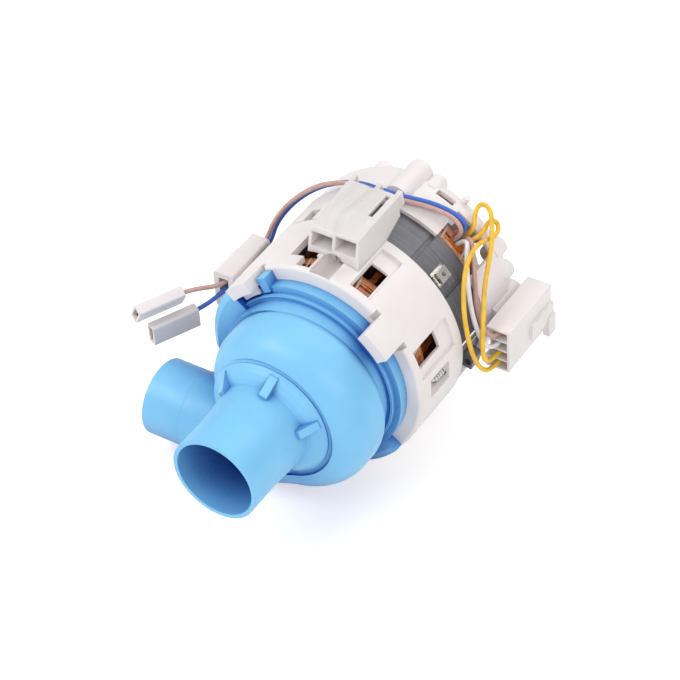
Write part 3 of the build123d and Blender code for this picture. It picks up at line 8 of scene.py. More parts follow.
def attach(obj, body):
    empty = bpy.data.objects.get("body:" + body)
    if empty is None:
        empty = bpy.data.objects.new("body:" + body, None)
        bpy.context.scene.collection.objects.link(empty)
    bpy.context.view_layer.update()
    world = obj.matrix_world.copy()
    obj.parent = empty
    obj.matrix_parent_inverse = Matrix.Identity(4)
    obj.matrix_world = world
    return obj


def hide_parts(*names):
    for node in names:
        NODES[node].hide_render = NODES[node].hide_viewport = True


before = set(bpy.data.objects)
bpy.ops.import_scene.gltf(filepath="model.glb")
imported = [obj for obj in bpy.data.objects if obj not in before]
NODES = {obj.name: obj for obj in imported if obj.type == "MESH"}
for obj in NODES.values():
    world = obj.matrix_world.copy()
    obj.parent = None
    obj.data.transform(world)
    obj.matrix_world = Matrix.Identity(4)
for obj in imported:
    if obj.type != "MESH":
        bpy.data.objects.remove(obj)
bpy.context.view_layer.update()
MM = 0.001

# Colours, linear

BLUE = (0.215, 0.560, 0.850)
BLUE_DEEP = (0.190, 0.525, 0.815)
# Painted shade: the colour that deep bores and corners of the blue housing go to, not a colour of the
# plastic
BLUE_PAINTED_SHADE = (0.002, 0.062, 0.400)
WHITE = (0.815, 0.765, 0.755)
WHITE_WARM = (0.775, 0.715, 0.695)
NYLON = (0.700, 0.665, 0.655)
NYLON_DARK = (0.640, 0.600, 0.585)
STEEL = (0.560, 0.560, 0.560)
STEEL_DARK = (0.330, 0.330, 0.340)
LAMINATION = (0.098, 0.096, 0.108)
LAMINATION_LIGHT = (0.190, 0.186, 0.205)
COPPER = (1.000, 0.480, 0.210)
COPPER_DARK = (0.780, 0.230, 0.060)
LACING = (0.860, 0.720, 0.600)
BRONZE = (0.420, 0.240, 0.110)
ALUMINIUM = (0.640, 0.645, 0.660)
CORE_STEEL = (0.420, 0.420, 0.430)
ZINC = (0.660, 0.670, 0.660)
TIN = (0.740, 0.710, 0.660)
TIN_DARK = (0.560, 0.540, 0.500)
BRASS = (0.740, 0.630, 0.420)
BRASS_DARK = (0.580, 0.470, 0.300)
BLACK = (0.022, 0.022, 0.024)
BLACK_LIGHT = (0.050, 0.050, 0.052)
CARBON = (0.030, 0.030, 0.032)
CARBON_LIGHT = (0.070, 0.070, 0.075)
CERAMIC = (0.860, 0.850, 0.800)
CERAMIC_DARK = (0.780, 0.760, 0.700)
WASHER = (0.050, 0.050, 0.050)
WASHER_LIGHT = (0.090, 0.090, 0.090)
FELT = (0.420, 0.380, 0.280)
FELT_DARK = (0.220, 0.190, 0.130)
LEAD_BLUE = (0.048, 0.150, 0.600)
LEAD_BROWN = (0.600, 0.370, 0.310)
LEAD_WHITE = (0.820, 0.790, 0.800)
LEAD_YELLOW = (0.880, 0.520, 0.035)

# Camera and light

CAMERA_AZIMUTH = 35.629
CAMERA_ELEVATION = 42.715
CAMERA_ROLL = -4.541
CAMERA_DISTANCE = 1.0
CAMERA_AIM = Vector((0, 0.070, 0))
CAMERA_LENS = 131.84
CAMERA_SHIFT = (0.04144, 0.04643)
CAMERA_SENSOR = 36
CAMERA_NEAR = 0.05
CAMERA_FAR = 20

FLOOR_Z = -0.0507
FLOOR_REACH = 6
FLOOR_GREY = 0.80
FLOOR_GLOW = 0.46
SKY = (0.97, 0.98, 1)
SKY_STRENGTH = 0.62

LAMP_AIM = Vector((0, 0.07, 0))
LAMPS = (
    ("key", (-0.55, -0.55, 0.95), (0.7, 0.7), 7.2),
    ("fill", (0.75, -0.35, 0.55), (0.8, 0.6), 3.2),
    ("back", (0.15, 0.95, 0.75), (0.9, 0.5), 3.8),
)


def camera_axes():
    """Right, up and backward directions of the camera."""
    azimuth = math.radians(CAMERA_AZIMUTH)
    elevation = math.radians(CAMERA_ELEVATION)
    roll = math.radians(CAMERA_ROLL)
    back = Vector((math.sin(azimuth) * math.cos(elevation), -math.cos(azimuth) * math.cos(elevation),
                   math.sin(elevation)))
    level = Vector((math.cos(azimuth), math.sin(azimuth), 0))
    rise = back.cross(level)
    right = level * math.cos(roll) + rise * math.sin(roll)
    up = rise * math.cos(roll) - level * math.sin(roll)
    return right, up, back


def set_view():
    """Colours shown as they are."""
    bpy.context.scene.view_settings.view_transform = "Standard"


def make_camera():
    right, up, back = camera_axes()
    data = bpy.data.cameras.new("camera")
    data.lens = CAMERA_LENS
    data.sensor_width = CAMERA_SENSOR
    data.shift_x, data.shift_y = CAMERA_SHIFT
    data.clip_start = CAMERA_NEAR
    data.clip_end = CAMERA_FAR
    camera = bpy.data.objects.new("camera", data)
    turn = Matrix((right, up, back)).transposed()
    camera.matrix_world = Matrix.Translation(CAMERA_AIM + back * CAMERA_DISTANCE) @ turn.to_4x4()
    bpy.context.collection.objects.link(camera)
    bpy.context.scene.camera = camera


def make_lamp(name, place, size, power):
    data = bpy.data.lights.new(name, "AREA")
    data.shape = "RECTANGLE"
    data.size, data.size_y = size
    data.energy = power
    lamp = bpy.data.objects.new(name, data)
    lamp.location = place
    lamp.rotation_euler = (LAMP_AIM - Vector(place)).to_track_quat("-Z", "Y").to_euler()
    bpy.context.collection.objects.link(lamp)


def make_world():
    """White for what is seen directly, a softer grey for what lights the object."""
    world = bpy.data.worlds.new("world")
    bpy.context.scene.world = world
    world.use_nodes = True
    tree = world.node_tree
    tree.nodes.clear()
    out = tree.nodes.new("ShaderNodeOutputWorld")
    shown = tree.nodes.new("ShaderNodeBackground")
    shown.inputs["Color"].default_value = (1, 1, 1, 1)
    shown.inputs["Strength"].default_value = 1.0
    lit = tree.nodes.new("ShaderNodeBackground")
    lit.inputs["Color"].default_value = (*SKY, 1)
    lit.inputs["Strength"].default_value = SKY_STRENGTH
    mix = tree.nodes.new("ShaderNodeMixShader")
    tree.links.new(seen_directly(tree, gloss=False), mix.inputs[0])
    tree.links.new(lit.outputs[0], mix.inputs[1])
    tree.links.new(shown.outputs[0], mix.inputs[2])
    tree.links.new(mix.outputs[0], out.inputs["Surface"])


def seen_directly(tree, gloss):
    """1 for camera and transmission rays, and for glossy rays where gloss is true."""
    path = tree.nodes.new("ShaderNodeLightPath")
    both = tree.nodes.new("ShaderNodeMath")
    both.operation = "MAXIMUM"
    tree.links.new(path.outputs["Is Camera Ray"], both.inputs[0])
    tree.links.new(path.outputs["Is Transmission Ray"], both.inputs[1])
    if not gloss:
        return both.outputs[0]
    third = tree.nodes.new("ShaderNodeMath")
    third.operation = "MAXIMUM"
    tree.links.new(both.outputs[0], third.inputs[0])
    tree.links.new(path.outputs["Is Glossy Ray"], third.inputs[1])
    return third.outputs[0]


def make_floor():
    data = bpy.data.meshes.new("floor")
    corners = [(x * FLOOR_REACH, y * FLOOR_REACH, FLOOR_Z) for x, y in ((-1, -1), (1, -1), (1, 1), (-1, 1))]
    data.from_pydata(corners, [], [(0, 1, 2, 3)])
    floor = bpy.data.objects.new("floor", data)
    bpy.context.collection.objects.link(floor)
    data.materials.append(floor_material())


def floor_material():
    """Matt floor with a glow that only direct sight and gloss meet."""
    material = bpy.data.materials.new("floor")
    material.use_nodes = True
    tree = material.node_tree
    tree.nodes.clear()
    out = tree.nodes.new("ShaderNodeOutputMaterial")
    matt = tree.nodes.new("ShaderNodeBsdfDiffuse")
    matt.inputs["Color"].default_value = (FLOOR_GREY, FLOOR_GREY, FLOOR_GREY, 1)
    glow = tree.nodes.new("ShaderNodeEmission")
    glow.inputs["Color"].default_value = (1, 1, 1, 1)
    glow.inputs["Strength"].default_value = FLOOR_GLOW
    dark = tree.nodes.new("ShaderNodeEmission")
    dark.inputs["Strength"].default_value = 0.0
    pick = tree.nodes.new("ShaderNodeMixShader")
    add = tree.nodes.new("ShaderNodeAddShader")
    tree.links.new(seen_directly(tree, gloss=True), pick.inputs[0])
    tree.links.new(dark.outputs[0], pick.inputs[1])
    tree.links.new(glow.outputs[0], pick.inputs[2])
    tree.links.new(matt.outputs[0], add.inputs[0])
    tree.links.new(pick.outputs[0], add.inputs[1])
    tree.links.new(add.outputs[0], out.inputs["Surface"])
    return material


# Materials: marks per metre, depths and radii in millimetres

NOISE_LOW = 0.3
NOISE_HIGH = 0.7
MIX_FIRST_COLOUR = 6
MIX_SECOND_COLOUR = 7
MIX_COLOUR_OUT = 2
# Painted shade in bores and corners: how far the occlusion looks, in millimetres, and its values for full
# shade and for none
SHADE_REACH = 35
SHADE_FULL = 0.22
SHADE_NONE = 0.82
PLASTIC_BLOTCH = 45
PLASTIC_GLOSS = 160
PLASTIC_GRAIN = 1400
PLASTIC_IOR = 1.46
SCATTER_COLOUR = (1.0, 0.85, 0.7)
METAL_BLOTCH = 90
SHEET_PITCH = 0.5
SHEET_STREAK = 60
SHEET_BLOTCH = 70
SHEET_DEPTH = 0.03
WIRE_BLOTCH = 320
WIRE_GRAIN = 2600
INSULATION_BLOTCH = 260
INSULATION_GRAIN = 2200
INSULATION_IOR = 1.5
RUBBER_BLOTCH = 120
RUBBER_GRAIN = 1200
FELT_GRAIN = 3200


def start_material(name):
    material = bpy.data.materials.new(name)
    material.use_nodes = True
    tree = material.node_tree
    shader = tree.nodes["Principled BSDF"]
    return material, tree, shader


def place_of(tree, stretch=(1, 1, 1)):
    """Object coordinates, stretched."""
    coordinates = tree.nodes.new("ShaderNodeTexCoord")
    mapping = tree.nodes.new("ShaderNodeMapping")
    mapping.inputs["Scale"].default_value = stretch
    tree.links.new(coordinates.outputs["Object"], mapping.inputs["Vector"])
    return mapping.outputs["Vector"]


def noise(tree, where, per_metre, detail=4.0, rough=0.55):
    node = tree.nodes.new("ShaderNodeTexNoise")
    node.inputs["Scale"].default_value = per_metre
    node.inputs["Detail"].default_value = detail
    node.inputs["Roughness"].default_value = rough
    tree.links.new(where, node.inputs["Vector"])
    return node.outputs["Fac"]


def ramp(tree, value, low, high, low_at=0.35, high_at=0.65):
    """Colour between low and high by value."""
    node = tree.nodes.new("ShaderNodeValToRGB")
    first, second = node.color_ramp.elements
    first.position, second.position = low_at, high_at
    first.color = (*low, 1)
    second.color = (*high, 1)
    tree.links.new(value, node.inputs["Fac"])
    return node.outputs["Color"]


def spread(tree, value, low, high):
    """Number between low and high by value."""
    node = tree.nodes.new("ShaderNodeMapRange")
    node.inputs["From Min"].default_value = NOISE_LOW
    node.inputs["From Max"].default_value = NOISE_HIGH
    node.inputs["To Min"].default_value = low
    node.inputs["To Max"].default_value = high
    tree.links.new(value, node.inputs["Value"])
    return node.outputs["Result"]


def relief(tree, value, depth, strength, edge=0.0):
    """Bump by value over edges softened by a small radius, both in millimetres."""
    bump = tree.nodes.new("ShaderNodeBump")
    bump.inputs["Distance"].default_value = depth * MM
    bump.inputs["Strength"].default_value = strength
    tree.links.new(value, bump.inputs["Height"])
    if edge:
        bevel = tree.nodes.new("ShaderNodeBevel")
        bevel.samples = 4
        bevel.inputs["Radius"].default_value = edge * MM
        tree.links.new(bevel.outputs["Normal"], bump.inputs["Normal"])
    return bump.outputs["Normal"]


def openness(tree, reach):
    """Mask for painted shade: 0 in deep bores and corners, 1 on open faces."""
    node = tree.nodes.new("ShaderNodeAmbientOcclusion")
    node.samples = 6
    node.inputs["Distance"].default_value = reach * MM
    span = tree.nodes.new("ShaderNodeMapRange")
    span.inputs["From Min"].default_value = SHADE_FULL
    span.inputs["From Max"].default_value = SHADE_NONE
    tree.links.new(node.outputs["AO"], span.inputs["Value"])
    return span.outputs["Result"]


def mixed(tree, share, shade, colour):
    """Colour where share is 1, the painted shade colour where it is 0."""
    mix = tree.nodes.new("ShaderNodeMix")
    mix.data_type = "RGBA"
    tree.links.new(share, mix.inputs["Factor"])
    mix.inputs[MIX_FIRST_COLOUR].default_value = (*shade, 1)
    tree.links.new(colour, mix.inputs[MIX_SECOND_COLOUR])
    return mix.outputs[MIX_COLOUR_OUT]


def halved(tree, value):
    node = tree.nodes.new("ShaderNodeMath")
    node.operation = "MULTIPLY"
    node.inputs[1].default_value = 0.5
    tree.links.new(value, node.inputs[0])
    return node.outputs[0]


def dress(tree, shader, colour, gloss_marks, roughness, normal):
    """Colour, a span of roughness that follows marks, and a normal."""
    tree.links.new(colour, shader.inputs["Base Color"])
    tree.links.new(spread(tree, gloss_marks, *roughness), shader.inputs["Roughness"])
    tree.links.new(normal, shader.inputs["Normal"])


def plastic(name, low, high, roughness, edge=0.35, grain=0.012, scatter=0.0, depth=0.0016, shade=None):
    """Moulded plastic: faint blotches of colour, a fine matt grain and rounded edges, and painted shade in
    deep bores and corners when a shade colour is given.
    """
    material, tree, shader = start_material(name)
    where = place_of(tree)
    broad = noise(tree, where, PLASTIC_BLOTCH, detail=3)
    fine = noise(tree, where, PLASTIC_GRAIN, detail=5, rough=0.6)
    gloss = noise(tree, where, PLASTIC_GLOSS)
    colour = ramp(tree, broad, low, high)
    # Painted shade: in deep bores and corners the colour goes to the shade colour and the gloss fades to
    # nothing
    if shade:
        share = openness(tree, SHADE_REACH)
        colour = mixed(tree, share, shade, colour)
        tree.links.new(halved(tree, share), shader.inputs["Specular IOR Level"])
    dress(tree, shader, colour, gloss, (roughness - 0.05, roughness + 0.06),
          relief(tree, fine, grain, 0.5, edge))
    shader.inputs["IOR"].default_value = PLASTIC_IOR
    if scatter:
        shader.inputs["Subsurface Weight"].default_value = scatter
        shader.inputs["Subsurface Radius"].default_value = SCATTER_COLOUR
        shader.inputs["Subsurface Scale"].default_value = depth
    return material


def metal(name, low, high, roughness, stretch=(1, 1, 1), per_metre=900, edge=0.12, depth=0.008):
    """Metal with fine marks along one direction."""
    material, tree, shader = start_material(name)
    marks = noise(tree, place_of(tree, stretch), per_metre, detail=6, rough=0.65)
    broad = noise(tree, place_of(tree), METAL_BLOTCH, detail=3)
    dress(tree, shader, ramp(tree, broad, low, high), marks, (roughness - 0.1, roughness + 0.12),
          relief(tree, marks, depth, 0.5, edge))
    shader.inputs["Metallic"].default_value = 1.0
    return material


def sheet_edges(tree, where):
    """Fine bands across the pump axis."""
    wave = tree.nodes.new("ShaderNodeTexWave")
    wave.wave_type = "BANDS"
    wave.bands_direction = "Y"
    wave.wave_profile = "SAW"
    wave.inputs["Scale"].default_value = 2 * math.pi / (20 * SHEET_PITCH * MM)
    wave.inputs["Distortion"].default_value = 0.6
    wave.inputs["Detail"].default_value = 2.0
    wave.inputs["Detail Scale"].default_value = 1.0
    tree.links.new(where, wave.inputs["Vector"])
    return wave.outputs["Fac"]


def laminated(name, low, high, metallic, roughness):
    """Stacked sheets with streaks along the pump axis."""
    material, tree, shader = start_material(name)
    where = place_of(tree)
    streak = noise(tree, place_of(tree, (1, 14, 1)), SHEET_STREAK, detail=4)
    blotch = noise(tree, where, SHEET_BLOTCH, detail=4)
    mix = tree.nodes.new("ShaderNodeMath")
    mix.operation = "MULTIPLY_ADD"
    mix.inputs[1].default_value = 0.5
    tree.links.new(streak, mix.inputs[0])
    tree.links.new(halved(tree, blotch), mix.inputs[2])
    colour = ramp(tree, mix.outputs[0], low, high, 0.38, 0.62)
    edges = relief(tree, sheet_edges(tree, where), SHEET_DEPTH, 0.35, 0.15)
    dress(tree, shader, colour, streak, (roughness - 0.06, roughness + 0.1), edges)
    shader.inputs["Metallic"].default_value = metallic
    return material


def enamelled(name, low, high):
    """Varnished copper wire."""
    material, tree, shader = start_material(name)
    where = place_of(tree)
    broad = noise(tree, where, WIRE_BLOTCH, detail=4, rough=0.6)
    fine = noise(tree, where, WIRE_GRAIN, detail=3)
    dress(tree, shader, ramp(tree, broad, low, high, 0.36, 0.60), fine, (0.26, 0.42),
          relief(tree, fine, 0.01, 0.4))
    shader.inputs["Metallic"].default_value = 0.05
    shader.inputs["Coat Weight"].default_value = 0.5
    shader.inputs["Coat Roughness"].default_value = 0.18
    return material


def insulation(name, colour, dark):
    """Soft sleeve of a lead."""
    material, tree, shader = start_material(name)
    where = place_of(tree)
    broad = noise(tree, where, INSULATION_BLOTCH, detail=4)
    fine = noise(tree, where, INSULATION_GRAIN, detail=3)
    dress(tree, shader, ramp(tree, broad, dark, colour, 0.30, 0.55), fine, (0.40, 0.55),
          relief(tree, fine, 0.012, 0.4))
    shader.inputs["IOR"].default_value = INSULATION_IOR
    return material


def rubber(name, colour, lighter):
    material, tree, shader = start_material(name)
    where = place_of(tree)
    broad = noise(tree, where, RUBBER_BLOTCH)
    fine = noise(tree, where, RUBBER_GRAIN, detail=5)
    dress(tree, shader, ramp(tree, broad, colour, lighter), fine, (0.6, 0.8),
          relief(tree, fine, 0.02, 0.5, 0.2))
    return material


def felt(name, low, high):
    material, tree, shader = start_material(name)
    fibres = noise(tree, place_of(tree), FELT_GRAIN, detail=8, rough=0.75)
    dress(tree, shader, ramp(tree, fibres, low, high), fibres, (0.85, 0.98),
          relief(tree, fibres, 0.12, 0.8))
    shader.inputs["Sheen Weight"].default_value = 0.3
    return material


def darker(colour, k):
    return tuple(c * k for c in colour)


def paint(material, *nodes):
    """Puts one material on every slot of CAD nodes."""
    for node in nodes:
        slots = NODES[node].data.materials
        if not slots:
            slots.append(material)
        for i in range(len(slots)):
            slots[i] = material


def paint_plastics():
    blue = plastic("blue_plastic", BLUE_DEEP, BLUE, 0.40, edge=0.35, scatter=0.05, shade=BLUE_PAINTED_SHADE)
    white = plastic("white_plastic", WHITE_WARM, WHITE, 0.46, edge=0.30, grain=0.02, scatter=0.08)
    nylon = plastic("natural_nylon", NYLON_DARK, NYLON, 0.36, edge=0.30, scatter=0.7, depth=0.004)
    pale = plastic("pale_plastic", darker(NYLON, 0.9), NYLON, 0.42)
    paint(blue, "volute_housing")
    paint(white, "front_bracket", "rear_bracket", "lead_box", "connector_housing",
          "receptacle_cover_brown", "receptacle_cover_blue")
    paint(nylon, "wire_tower")
    paint(pale, "impeller", "seal_back_plate")
    paint(plastic("ceramic", CERAMIC_DARK, CERAMIC, 0.25), "seal_ceramic_seat")
    paint(plastic("washer_plastic", WASHER, WASHER_LIGHT, 0.5), "thrust_washers")


def paint_soft_parts():
    paint(rubber("black_rubber", BLACK, BLACK_LIGHT), "volute_o_ring", "seal_seat_cup", "seal_bellows")
    paint(rubber("carbon", CARBON, CARBON_LIGHT), "seal_carbon_ring")
    paint(felt("oiled_felt", FELT_DARK, FELT), "front_oil_felt", "rear_oil_felt")


def paint_metals():
    steel = metal("bright_steel", darker(STEEL, 0.8), STEEL, 0.28, stretch=(1, 8, 1))
    zinc = metal("zinc_steel", darker(STEEL, 0.85), ZINC, 0.34)
    tinned = metal("tinned_steel", TIN_DARK, TIN, 0.26, stretch=(6, 1, 1))
    brass = metal("tinned_brass", BRASS_DARK, BRASS, 0.30)
    bronze = metal("sintered_bronze", darker(BRONZE, 0.7), BRONZE, 0.5, per_metre=2500, depth=0.02)
    cast = metal("cast_aluminium", darker(ALUMINIUM, 0.8), ALUMINIUM, 0.45, per_metre=500)
    paint(steel, "shaft", "seal_spring", "front_bush_retainer", "rear_bush_retainer")
    paint(zinc, "bracket_screws")
    paint(tinned, "earth_terminal")
    paint(brass, "connector_terminals", "receptacle_terminal_brown", "receptacle_terminal_blue")
    paint(bronze, "front_bush", "rear_bush")
    paint(cast, "rotor_cage")
    paint(laminated("rotor_laminations", STEEL_DARK, CORE_STEEL, 0.9, 0.4), "rotor_core")
    paint(laminated("stator_laminations", LAMINATION, LAMINATION_LIGHT, 0.35, 0.42), "stator_core")


# Leads, on the routes of their solids, in millimetres

LEAD_D = 2.0
LEAD_ROUNDNESS = 4
LEAD_STEPS = 14
BOX_X = -56.5
PLUG_X = 56.5
SPLICE_R = 41.0
SPLICE_Y = 139.4
SPLICE_PITCH = 2.3


def splice(row, column, reach=0.0):
    """A lead's end on the rear coil, or the point straight out from it."""
    half_root = math.sqrt(0.5)
    aside = column * SPLICE_PITCH
    out = SPLICE_R + reach
    return ((out - aside) * half_root, SPLICE_Y + row * SPLICE_PITCH, (out + aside) * half_root)


BLUE_ROUTE = [
    splice(0, 1), splice(0, 1, 4.8), (31.8, 139.8, 38.4), (28.4, 139.6, 41.8), (22.2, 138.6, 44.2),
    (16.4, 137.0, 45.9), (11.4, 135.0, 47.1), (7.0, 133.2, 47.9), (1.6, 132.4, 48.3), (-5.0, 132.5, 48.2),
    (-11.8, 132.9, 47.6), (-19.0, 132.4, 46.2), (-26.6, 131.2, 43.2), (-34.0, 129.8, 38.6),
    (-41.0, 128.2, 32.2), (-47.2, 126.8, 24.4), (-52.6, 126.0, 15.0), (BOX_X, 127.0, 3.7),
    (BOX_X + 0.1, 113.6, 3.1), (BOX_X - 0.1, 102.0, 3.2), (BOX_X, 91.6, 3.1), (-64.88, 86.10, -5.70),
    (-68.17, 79.36, -5.70),
]
BROWN_ROUTE = [
    splice(-1, 1), splice(-1, 1, 4.8), (31.2, 137.0, 38.8), (27.6, 137.1, 42.2), (21.4, 135.9, 44.5),
    (15.6, 134.0, 46.2), (10.4, 132.1, 47.3), (5.4, 130.4, 48.1), (-0.6, 129.9, 48.4), (-6.6, 130.3, 48.5),
    (-12.8, 130.3, 48.6), (-19.4, 129.6, 47.6), (-26.4, 128.6, 45.4), (-33.6, 127.2, 41.2),
    (-40.4, 125.6, 35.0), (-46.6, 124.2, 27.6), (-52.0, 123.0, 18.2), (BOX_X, 124.0, 6.9),
    (BOX_X + 0.1, 112.6, 6.5), (BOX_X - 0.1, 101.4, 6.6), (BOX_X, 90.5, 6.5), (-68.59, 82.76, 5.15),
    (-71.88, 76.02, 5.15),
]
SUPPLY_BROWN_ROUTE = [
    splice(0, 0), splice(0, 0, 7.4), (38.6, 133.6, 29.2), (43.4, 126.4, 21.8), (46.8, 121.4, 14.6),
    (50.6, 119.0, 7.4), (54.4, 118.8, 4.0), (PLUG_X, 122.4, 3.7), (PLUG_X, 127.0, 3.7),
]
SUPPLY_WHITE_ROUTE = [
    splice(-1, 0), splice(-1, 0, 7.4), (37.4, 130.2, 30.8), (42.0, 123.0, 25.0), (46.4, 117.4, 18.0),
    (50.0, 115.4, 9.4), (54.0, 115.4, 1.0), (PLUG_X, 119.8, -1.3), (PLUG_X, 127.0, -1.3),
]
SUPPLY_YELLOW_LOW_ROUTE = [
    splice(0, -1), splice(0, -1, 6.4), (37.4, 144.6, 33.2), (36.2, 150.4, 34.6), (38.6, 153.8, 32.4),
    (41.0, 150.0, 30.0), (40.2, 143.6, 31.0), (39.8, 137.2, 34.0), (40.4, 130.4, 35.2), (40.8, 124.2, 32.6),
    (43.2, 117.6, 26.8), (46.4, 112.0, 19.4), (49.4, 109.4, 10.2), (51.8, 109.0, 0.8), (54.6, 110.8, -7.6),
    (PLUG_X, 116.0, -11.3), (PLUG_X, 127.0, -11.3),
]
SUPPLY_YELLOW_HIGH_ROUTE = [
    splice(1, 0), splice(1, 0, 7.6), (32.0, 146.6, 40.2), (32.4, 151.8, 41.6), (36.4, 152.0, 39.0),
    (39.8, 147.0, 35.8), (43.0, 141.0, 31.8), (45.4, 134.0, 27.6), (47.8, 126.2, 21.8), (51.7, 118.4, 14.6),
    (54.6, 112.4, 5.2), (55.6, 111.6, -3.2), (PLUG_X, 116.8, -6.3), (PLUG_X, 127.0, -6.3),
]


def lead_curve(name, points, material):
    """One smooth open curve with the route's points as its control points."""
    data = bpy.data.curves.new(name + "_wire", "CURVE")
    data.dimensions = "3D"
    data.bevel_depth = LEAD_D / 2 * MM
    data.bevel_resolution = LEAD_ROUNDNESS
    data.resolution_u = LEAD_STEPS
    data.use_fill_caps = True
    spline = data.splines.new("NURBS")
    spline.points.add(len(points) - 1)
    for control, p in zip(spline.points, points):
        control.co = (p[0] * MM, p[1] * MM, p[2] * MM, 1)
    spline.order_u = 3
    spline.use_endpoint_u = True
    data.materials.append(material)
    obj = bpy.data.objects.new(name + "_wire", data)
    bpy.context.collection.objects.link(obj)
    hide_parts(name)
    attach(obj, "housing")
    return obj


def make_leads():
    blue = insulation("blue_insulation", LEAD_BLUE, darker(LEAD_BLUE, 0.75))
    brown = insulation("brown_insulation", LEAD_BROWN, darker(LEAD_BROWN, 0.8))
    white = insulation("white_insulation", LEAD_WHITE, darker(LEAD_WHITE, 0.9))
    yellow = insulation("yellow_insulation", LEAD_YELLOW, darker(LEAD_YELLOW, 0.8))
    table = (
        ("lead_blue", BLUE_ROUTE, blue, 0.175, "blue"),
        ("lead_brown", BROWN_ROUTE, brown, 0.173, "brown"),
        ("supply_lead_brown", SUPPLY_BROWN_ROUTE, brown, 0.057, None),
        ("supply_lead_white", SUPPLY_WHITE_ROUTE, white, 0.065, None),
        ("supply_lead_yellow_low", SUPPLY_YELLOW_LOW_ROUTE, yellow, 0.117, None),
        ("supply_lead_yellow_high", SUPPLY_YELLOW_HIGH_ROUTE, yellow, 0.103, None),
    )
    for name, route, material, length, colour in table:
        wire = lead_curve(name, route, material)


# Windings, in millimetres

COIL_INNER_R = 27.5
COIL_OUTER_R = 40.0
COIL_FRONT_Y = (79.2, 95.0)
COIL_REAR_Y = (132.0, 142.8)
COIL_ROUNDING = 0.55
COIL_HEADS = (
    ("front", COIL_FRONT_Y, 56, 4),
    ("rear", COIL_REAR_Y, 48, 9),
)
STRAND_R = 0.40
STRAND_STEPS = 132
STRAND_SIDES = 6
STRAND_TWIST = 5
STRAND_TILT = Vector((0, 1, 0.02))
WANDER_HEIGHT = (0.05, 0.30)
WANDER_WAVES = (2, 9)
WANDER_ASIDE = 0.6
WANDER_OUT = 0.18
TIE_COUNT = 20
TIE_HALF_WIDTH = 0.63
TIE_HALF_DEPTH = 0.294
TIE_STEPS = 36
TIE_SIDES = 6
TIE_INSET = 0.05
TIE_SEED = 50
TIE_SHIFT = 0.15
TIE_SLANT = (0.03, 0.07)
CORE_INSET = 0.95
CORE_STEPS = 96
CORE_SIDES = 28
SLOT_COUNT = 24
SLOT_INNER_R = 28.0
SLOT_OUTER_R = 35.6
SLOT_HALF_WIDTH = 1.3
SLOT_LAP = 1.5
SPLICE_BLOCK_R = 36.5
SPLICE_BLOCK_HALF = 3.5
SPLICE_BLOCK_SHORT = 0.6
SPLICE_BLOCK_TURN = 45


def add_mesh(name, mesh, material, smooth=True):
    data = bpy.data.meshes.new(name)
    data.from_pydata(mesh[0], [], mesh[1])
    data.validate()
    data.materials.append(material)
    if smooth:
        data.shade_smooth()
    obj = bpy.data.objects.new(name, data)
    bpy.context.collection.objects.link(obj)
    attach(obj, "housing")
    return obj


def joined(parts):
    """One mesh from several, each a list of vertices and a list of faces."""
    verts, faces = [], []
    for part_verts, part_faces in parts:
        base = len(verts)
        verts += part_verts
        faces += [tuple(base + k for k in f) for f in part_faces]
    return verts, faces


def ring_faces(rings, sides):
    """Faces of a closed tube of so many rings, each with so many points."""
    faces = []
    for i in range(rings):
        j = (i + 1) % rings
        for k in range(sides):
            m = (k + 1) % sides
            faces.append((i * sides + k, i * sides + m, j * sides + m, j * sides + k))
    return faces


def section_point(span, u, inset):
    """Radius and y of a point on a coil head's rounded cross-section, u from 0 to 1."""
    half_r = (COIL_OUTER_R - COIL_INNER_R) / 2 - inset
    half_y = (span[1] - span[0]) / 2 - inset
    c, s = math.cos(2 * math.pi * u), math.sin(2 * math.pi * u)
    r = math.copysign(abs(c) ** COIL_ROUNDING, c) * half_r
    y = math.copysign(abs(s) ** COIL_ROUNDING, s) * half_y
    return (COIL_OUTER_R + COIL_INNER_R) / 2 + r, (span[0] + span[1]) / 2 + y


def coil_point(span, angle, u, inset):
    """Point on a coil head's skin, in metres, at an angle about the pump axis."""
    r, y = section_point(span, u, inset)
    return Vector((r * math.cos(angle), y, r * math.sin(angle))) * MM


def sweep(points, sides, half_width, half_depth, axes):
    """Closed tube along closed points; axes gives the width and depth directions across a way."""
    verts = []
    n = len(points)
    for i, p in enumerate(points):
        aside, up = axes((points[(i + 1) % n] - points[i - 1]).normalized())
        for k in range(sides):
            a = 2 * math.pi * k / sides
            verts.append(p + aside * math.cos(a) * half_width * MM + up * math.sin(a) * half_depth * MM)
    return verts, ring_faces(n, sides)


def strand_axes(way):
    aside = way.cross(STRAND_TILT).normalized()
    return aside, aside.cross(way)


def strand_waves(chance):
    """Three waves by which a wire wanders: height, waves a turn and start."""
    return [(chance.uniform(*WANDER_HEIGHT), chance.randint(*WANDER_WAVES), chance.uniform(0, 2 * math.pi))
            for _ in range(3)]


def strand_points(span, waves, number, count):
    points = []
    for i in range(STRAND_STEPS):
        a = 2 * math.pi * i / STRAND_STEPS
        drift = sum(height * math.sin(turns * a + start) for height, turns, start in waves)
        u = (number + WANDER_ASIDE * drift + STRAND_TWIST * a / (2 * math.pi)) / count
        points.append(coil_point(span, a, u, STRAND_R - WANDER_OUT * drift))
    return points


def strands(span, count, seed):
    """Wires of a coil head's outer layer, wound round its section and wandering a little."""
    chance = random.Random(seed)
    parts = []
    for number in range(count):
        points = strand_points(span, strand_waves(chance), number, count)
        parts.append(sweep(points, STRAND_SIDES, STRAND_R, STRAND_R, strand_axes))
    return joined(parts)


def tie_axes(middle):
    """Cross directions of a tie that lies across the coil at an angle."""
    across = Vector((-math.sin(middle), 0, math.cos(middle)))

    def axes(way):
        up = way.cross(across).normalized()
        return up.cross(way), up

    return axes


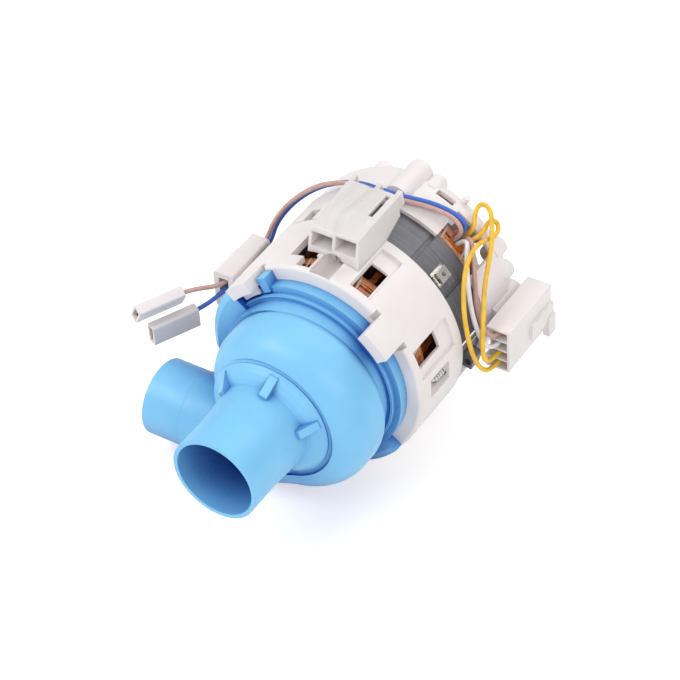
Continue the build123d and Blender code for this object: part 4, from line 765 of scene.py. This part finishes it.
def lacing(span, seed):
    """Flat ties round a coil head, each a slanted closed loop."""
    chance = random.Random(seed)
    parts = []
    for number in range(TIE_COUNT):
        middle = 2 * math.pi * (number + chance.uniform(-TIE_SHIFT, TIE_SHIFT)) / TIE_COUNT
        slant = chance.uniform(*TIE_SLANT)
        points = []
        for k in range(TIE_STEPS):
            u = k / TIE_STEPS
            points.append(coil_point(span, middle + slant * math.sin(2 * math.pi * u), u, TIE_INSET))
        parts.append(sweep(points, TIE_SIDES, TIE_HALF_WIDTH, TIE_HALF_DEPTH, tie_axes(middle)))
    return joined(parts)


def core_ring(span):
    """The coil head's body under its outer wires."""
    verts = []
    for i in range(CORE_STEPS):
        for k in range(CORE_SIDES):
            verts.append(coil_point(span, 2 * math.pi * i / CORE_STEPS, k / CORE_SIDES, CORE_INSET))
    return verts, ring_faces(CORE_STEPS, CORE_SIDES)


def block(low, high, turn):
    """Box in millimetres between two corners, turned about the pump axis by degrees from +X."""
    c, s = math.cos(math.radians(turn)), math.sin(math.radians(turn))
    verts = []
    for x in (low[0], high[0]):
        for y in (low[1], high[1]):
            for z in (low[2], high[2]):
                verts.append(Vector((x * c - z * s, y, x * s + z * c)) * MM)
    faces = [(0, 1, 3, 2), (4, 6, 7, 5), (0, 4, 5, 1), (2, 3, 7, 6), (0, 2, 6, 4), (1, 5, 7, 3)]
    return verts, faces


def slot_block(turn):
    """Winding in one slot, between the two coil heads."""
    low = (SLOT_INNER_R, COIL_FRONT_Y[1] - SLOT_LAP, -SLOT_HALF_WIDTH)
    high = (SLOT_OUTER_R, COIL_REAR_Y[0] + SLOT_LAP, SLOT_HALF_WIDTH)
    return block(low, high, turn)


def splice_block():
    """Tied joint of the leads on the rear coil head."""
    low = (SPLICE_BLOCK_R, SPLICE_Y - SPLICE_BLOCK_HALF, -SPLICE_BLOCK_HALF)
    high = (SPLICE_R - SPLICE_BLOCK_SHORT, SPLICE_Y + SPLICE_BLOCK_HALF, SPLICE_BLOCK_HALF)
    return block(low, high, SPLICE_BLOCK_TURN)


def make_windings():
    wire = enamelled("copper_wire", COPPER_DARK, COPPER)
    # Painted shade: a darker copy of the copper for the coil body under the outer wires, the slot windings
    # and the splice block
    deep = enamelled("copper_painted_shade", darker(COPPER_DARK, 0.5), COPPER_DARK)
    cord = felt("lacing_cord", darker(LACING, 0.7), LACING)
    for name, span, count, seed in COIL_HEADS:
        node = name + "_winding_loops"
        coil = add_mesh(name + "_coil_wires", strands(span, count, seed), wire)
        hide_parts(node)
        add_mesh(name + "_coil_lacing", lacing(span, seed + TIE_SEED), cord)
    slots = [slot_block((i + 0.5) * 360 / SLOT_COUNT) for i in range(SLOT_COUNT)]
    body = joined([core_ring(COIL_FRONT_Y), core_ring(COIL_REAR_Y), *slots, splice_block()])
    core = add_mesh("winding_core", body, deep, smooth=False)
    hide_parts("stator_winding")


set_view()
make_world()
make_camera()
make_floor()
for lamp_values in LAMPS:
    make_lamp(*lamp_values)
paint_plastics()
paint_soft_parts()
paint_metals()
make_leads()
make_windings()
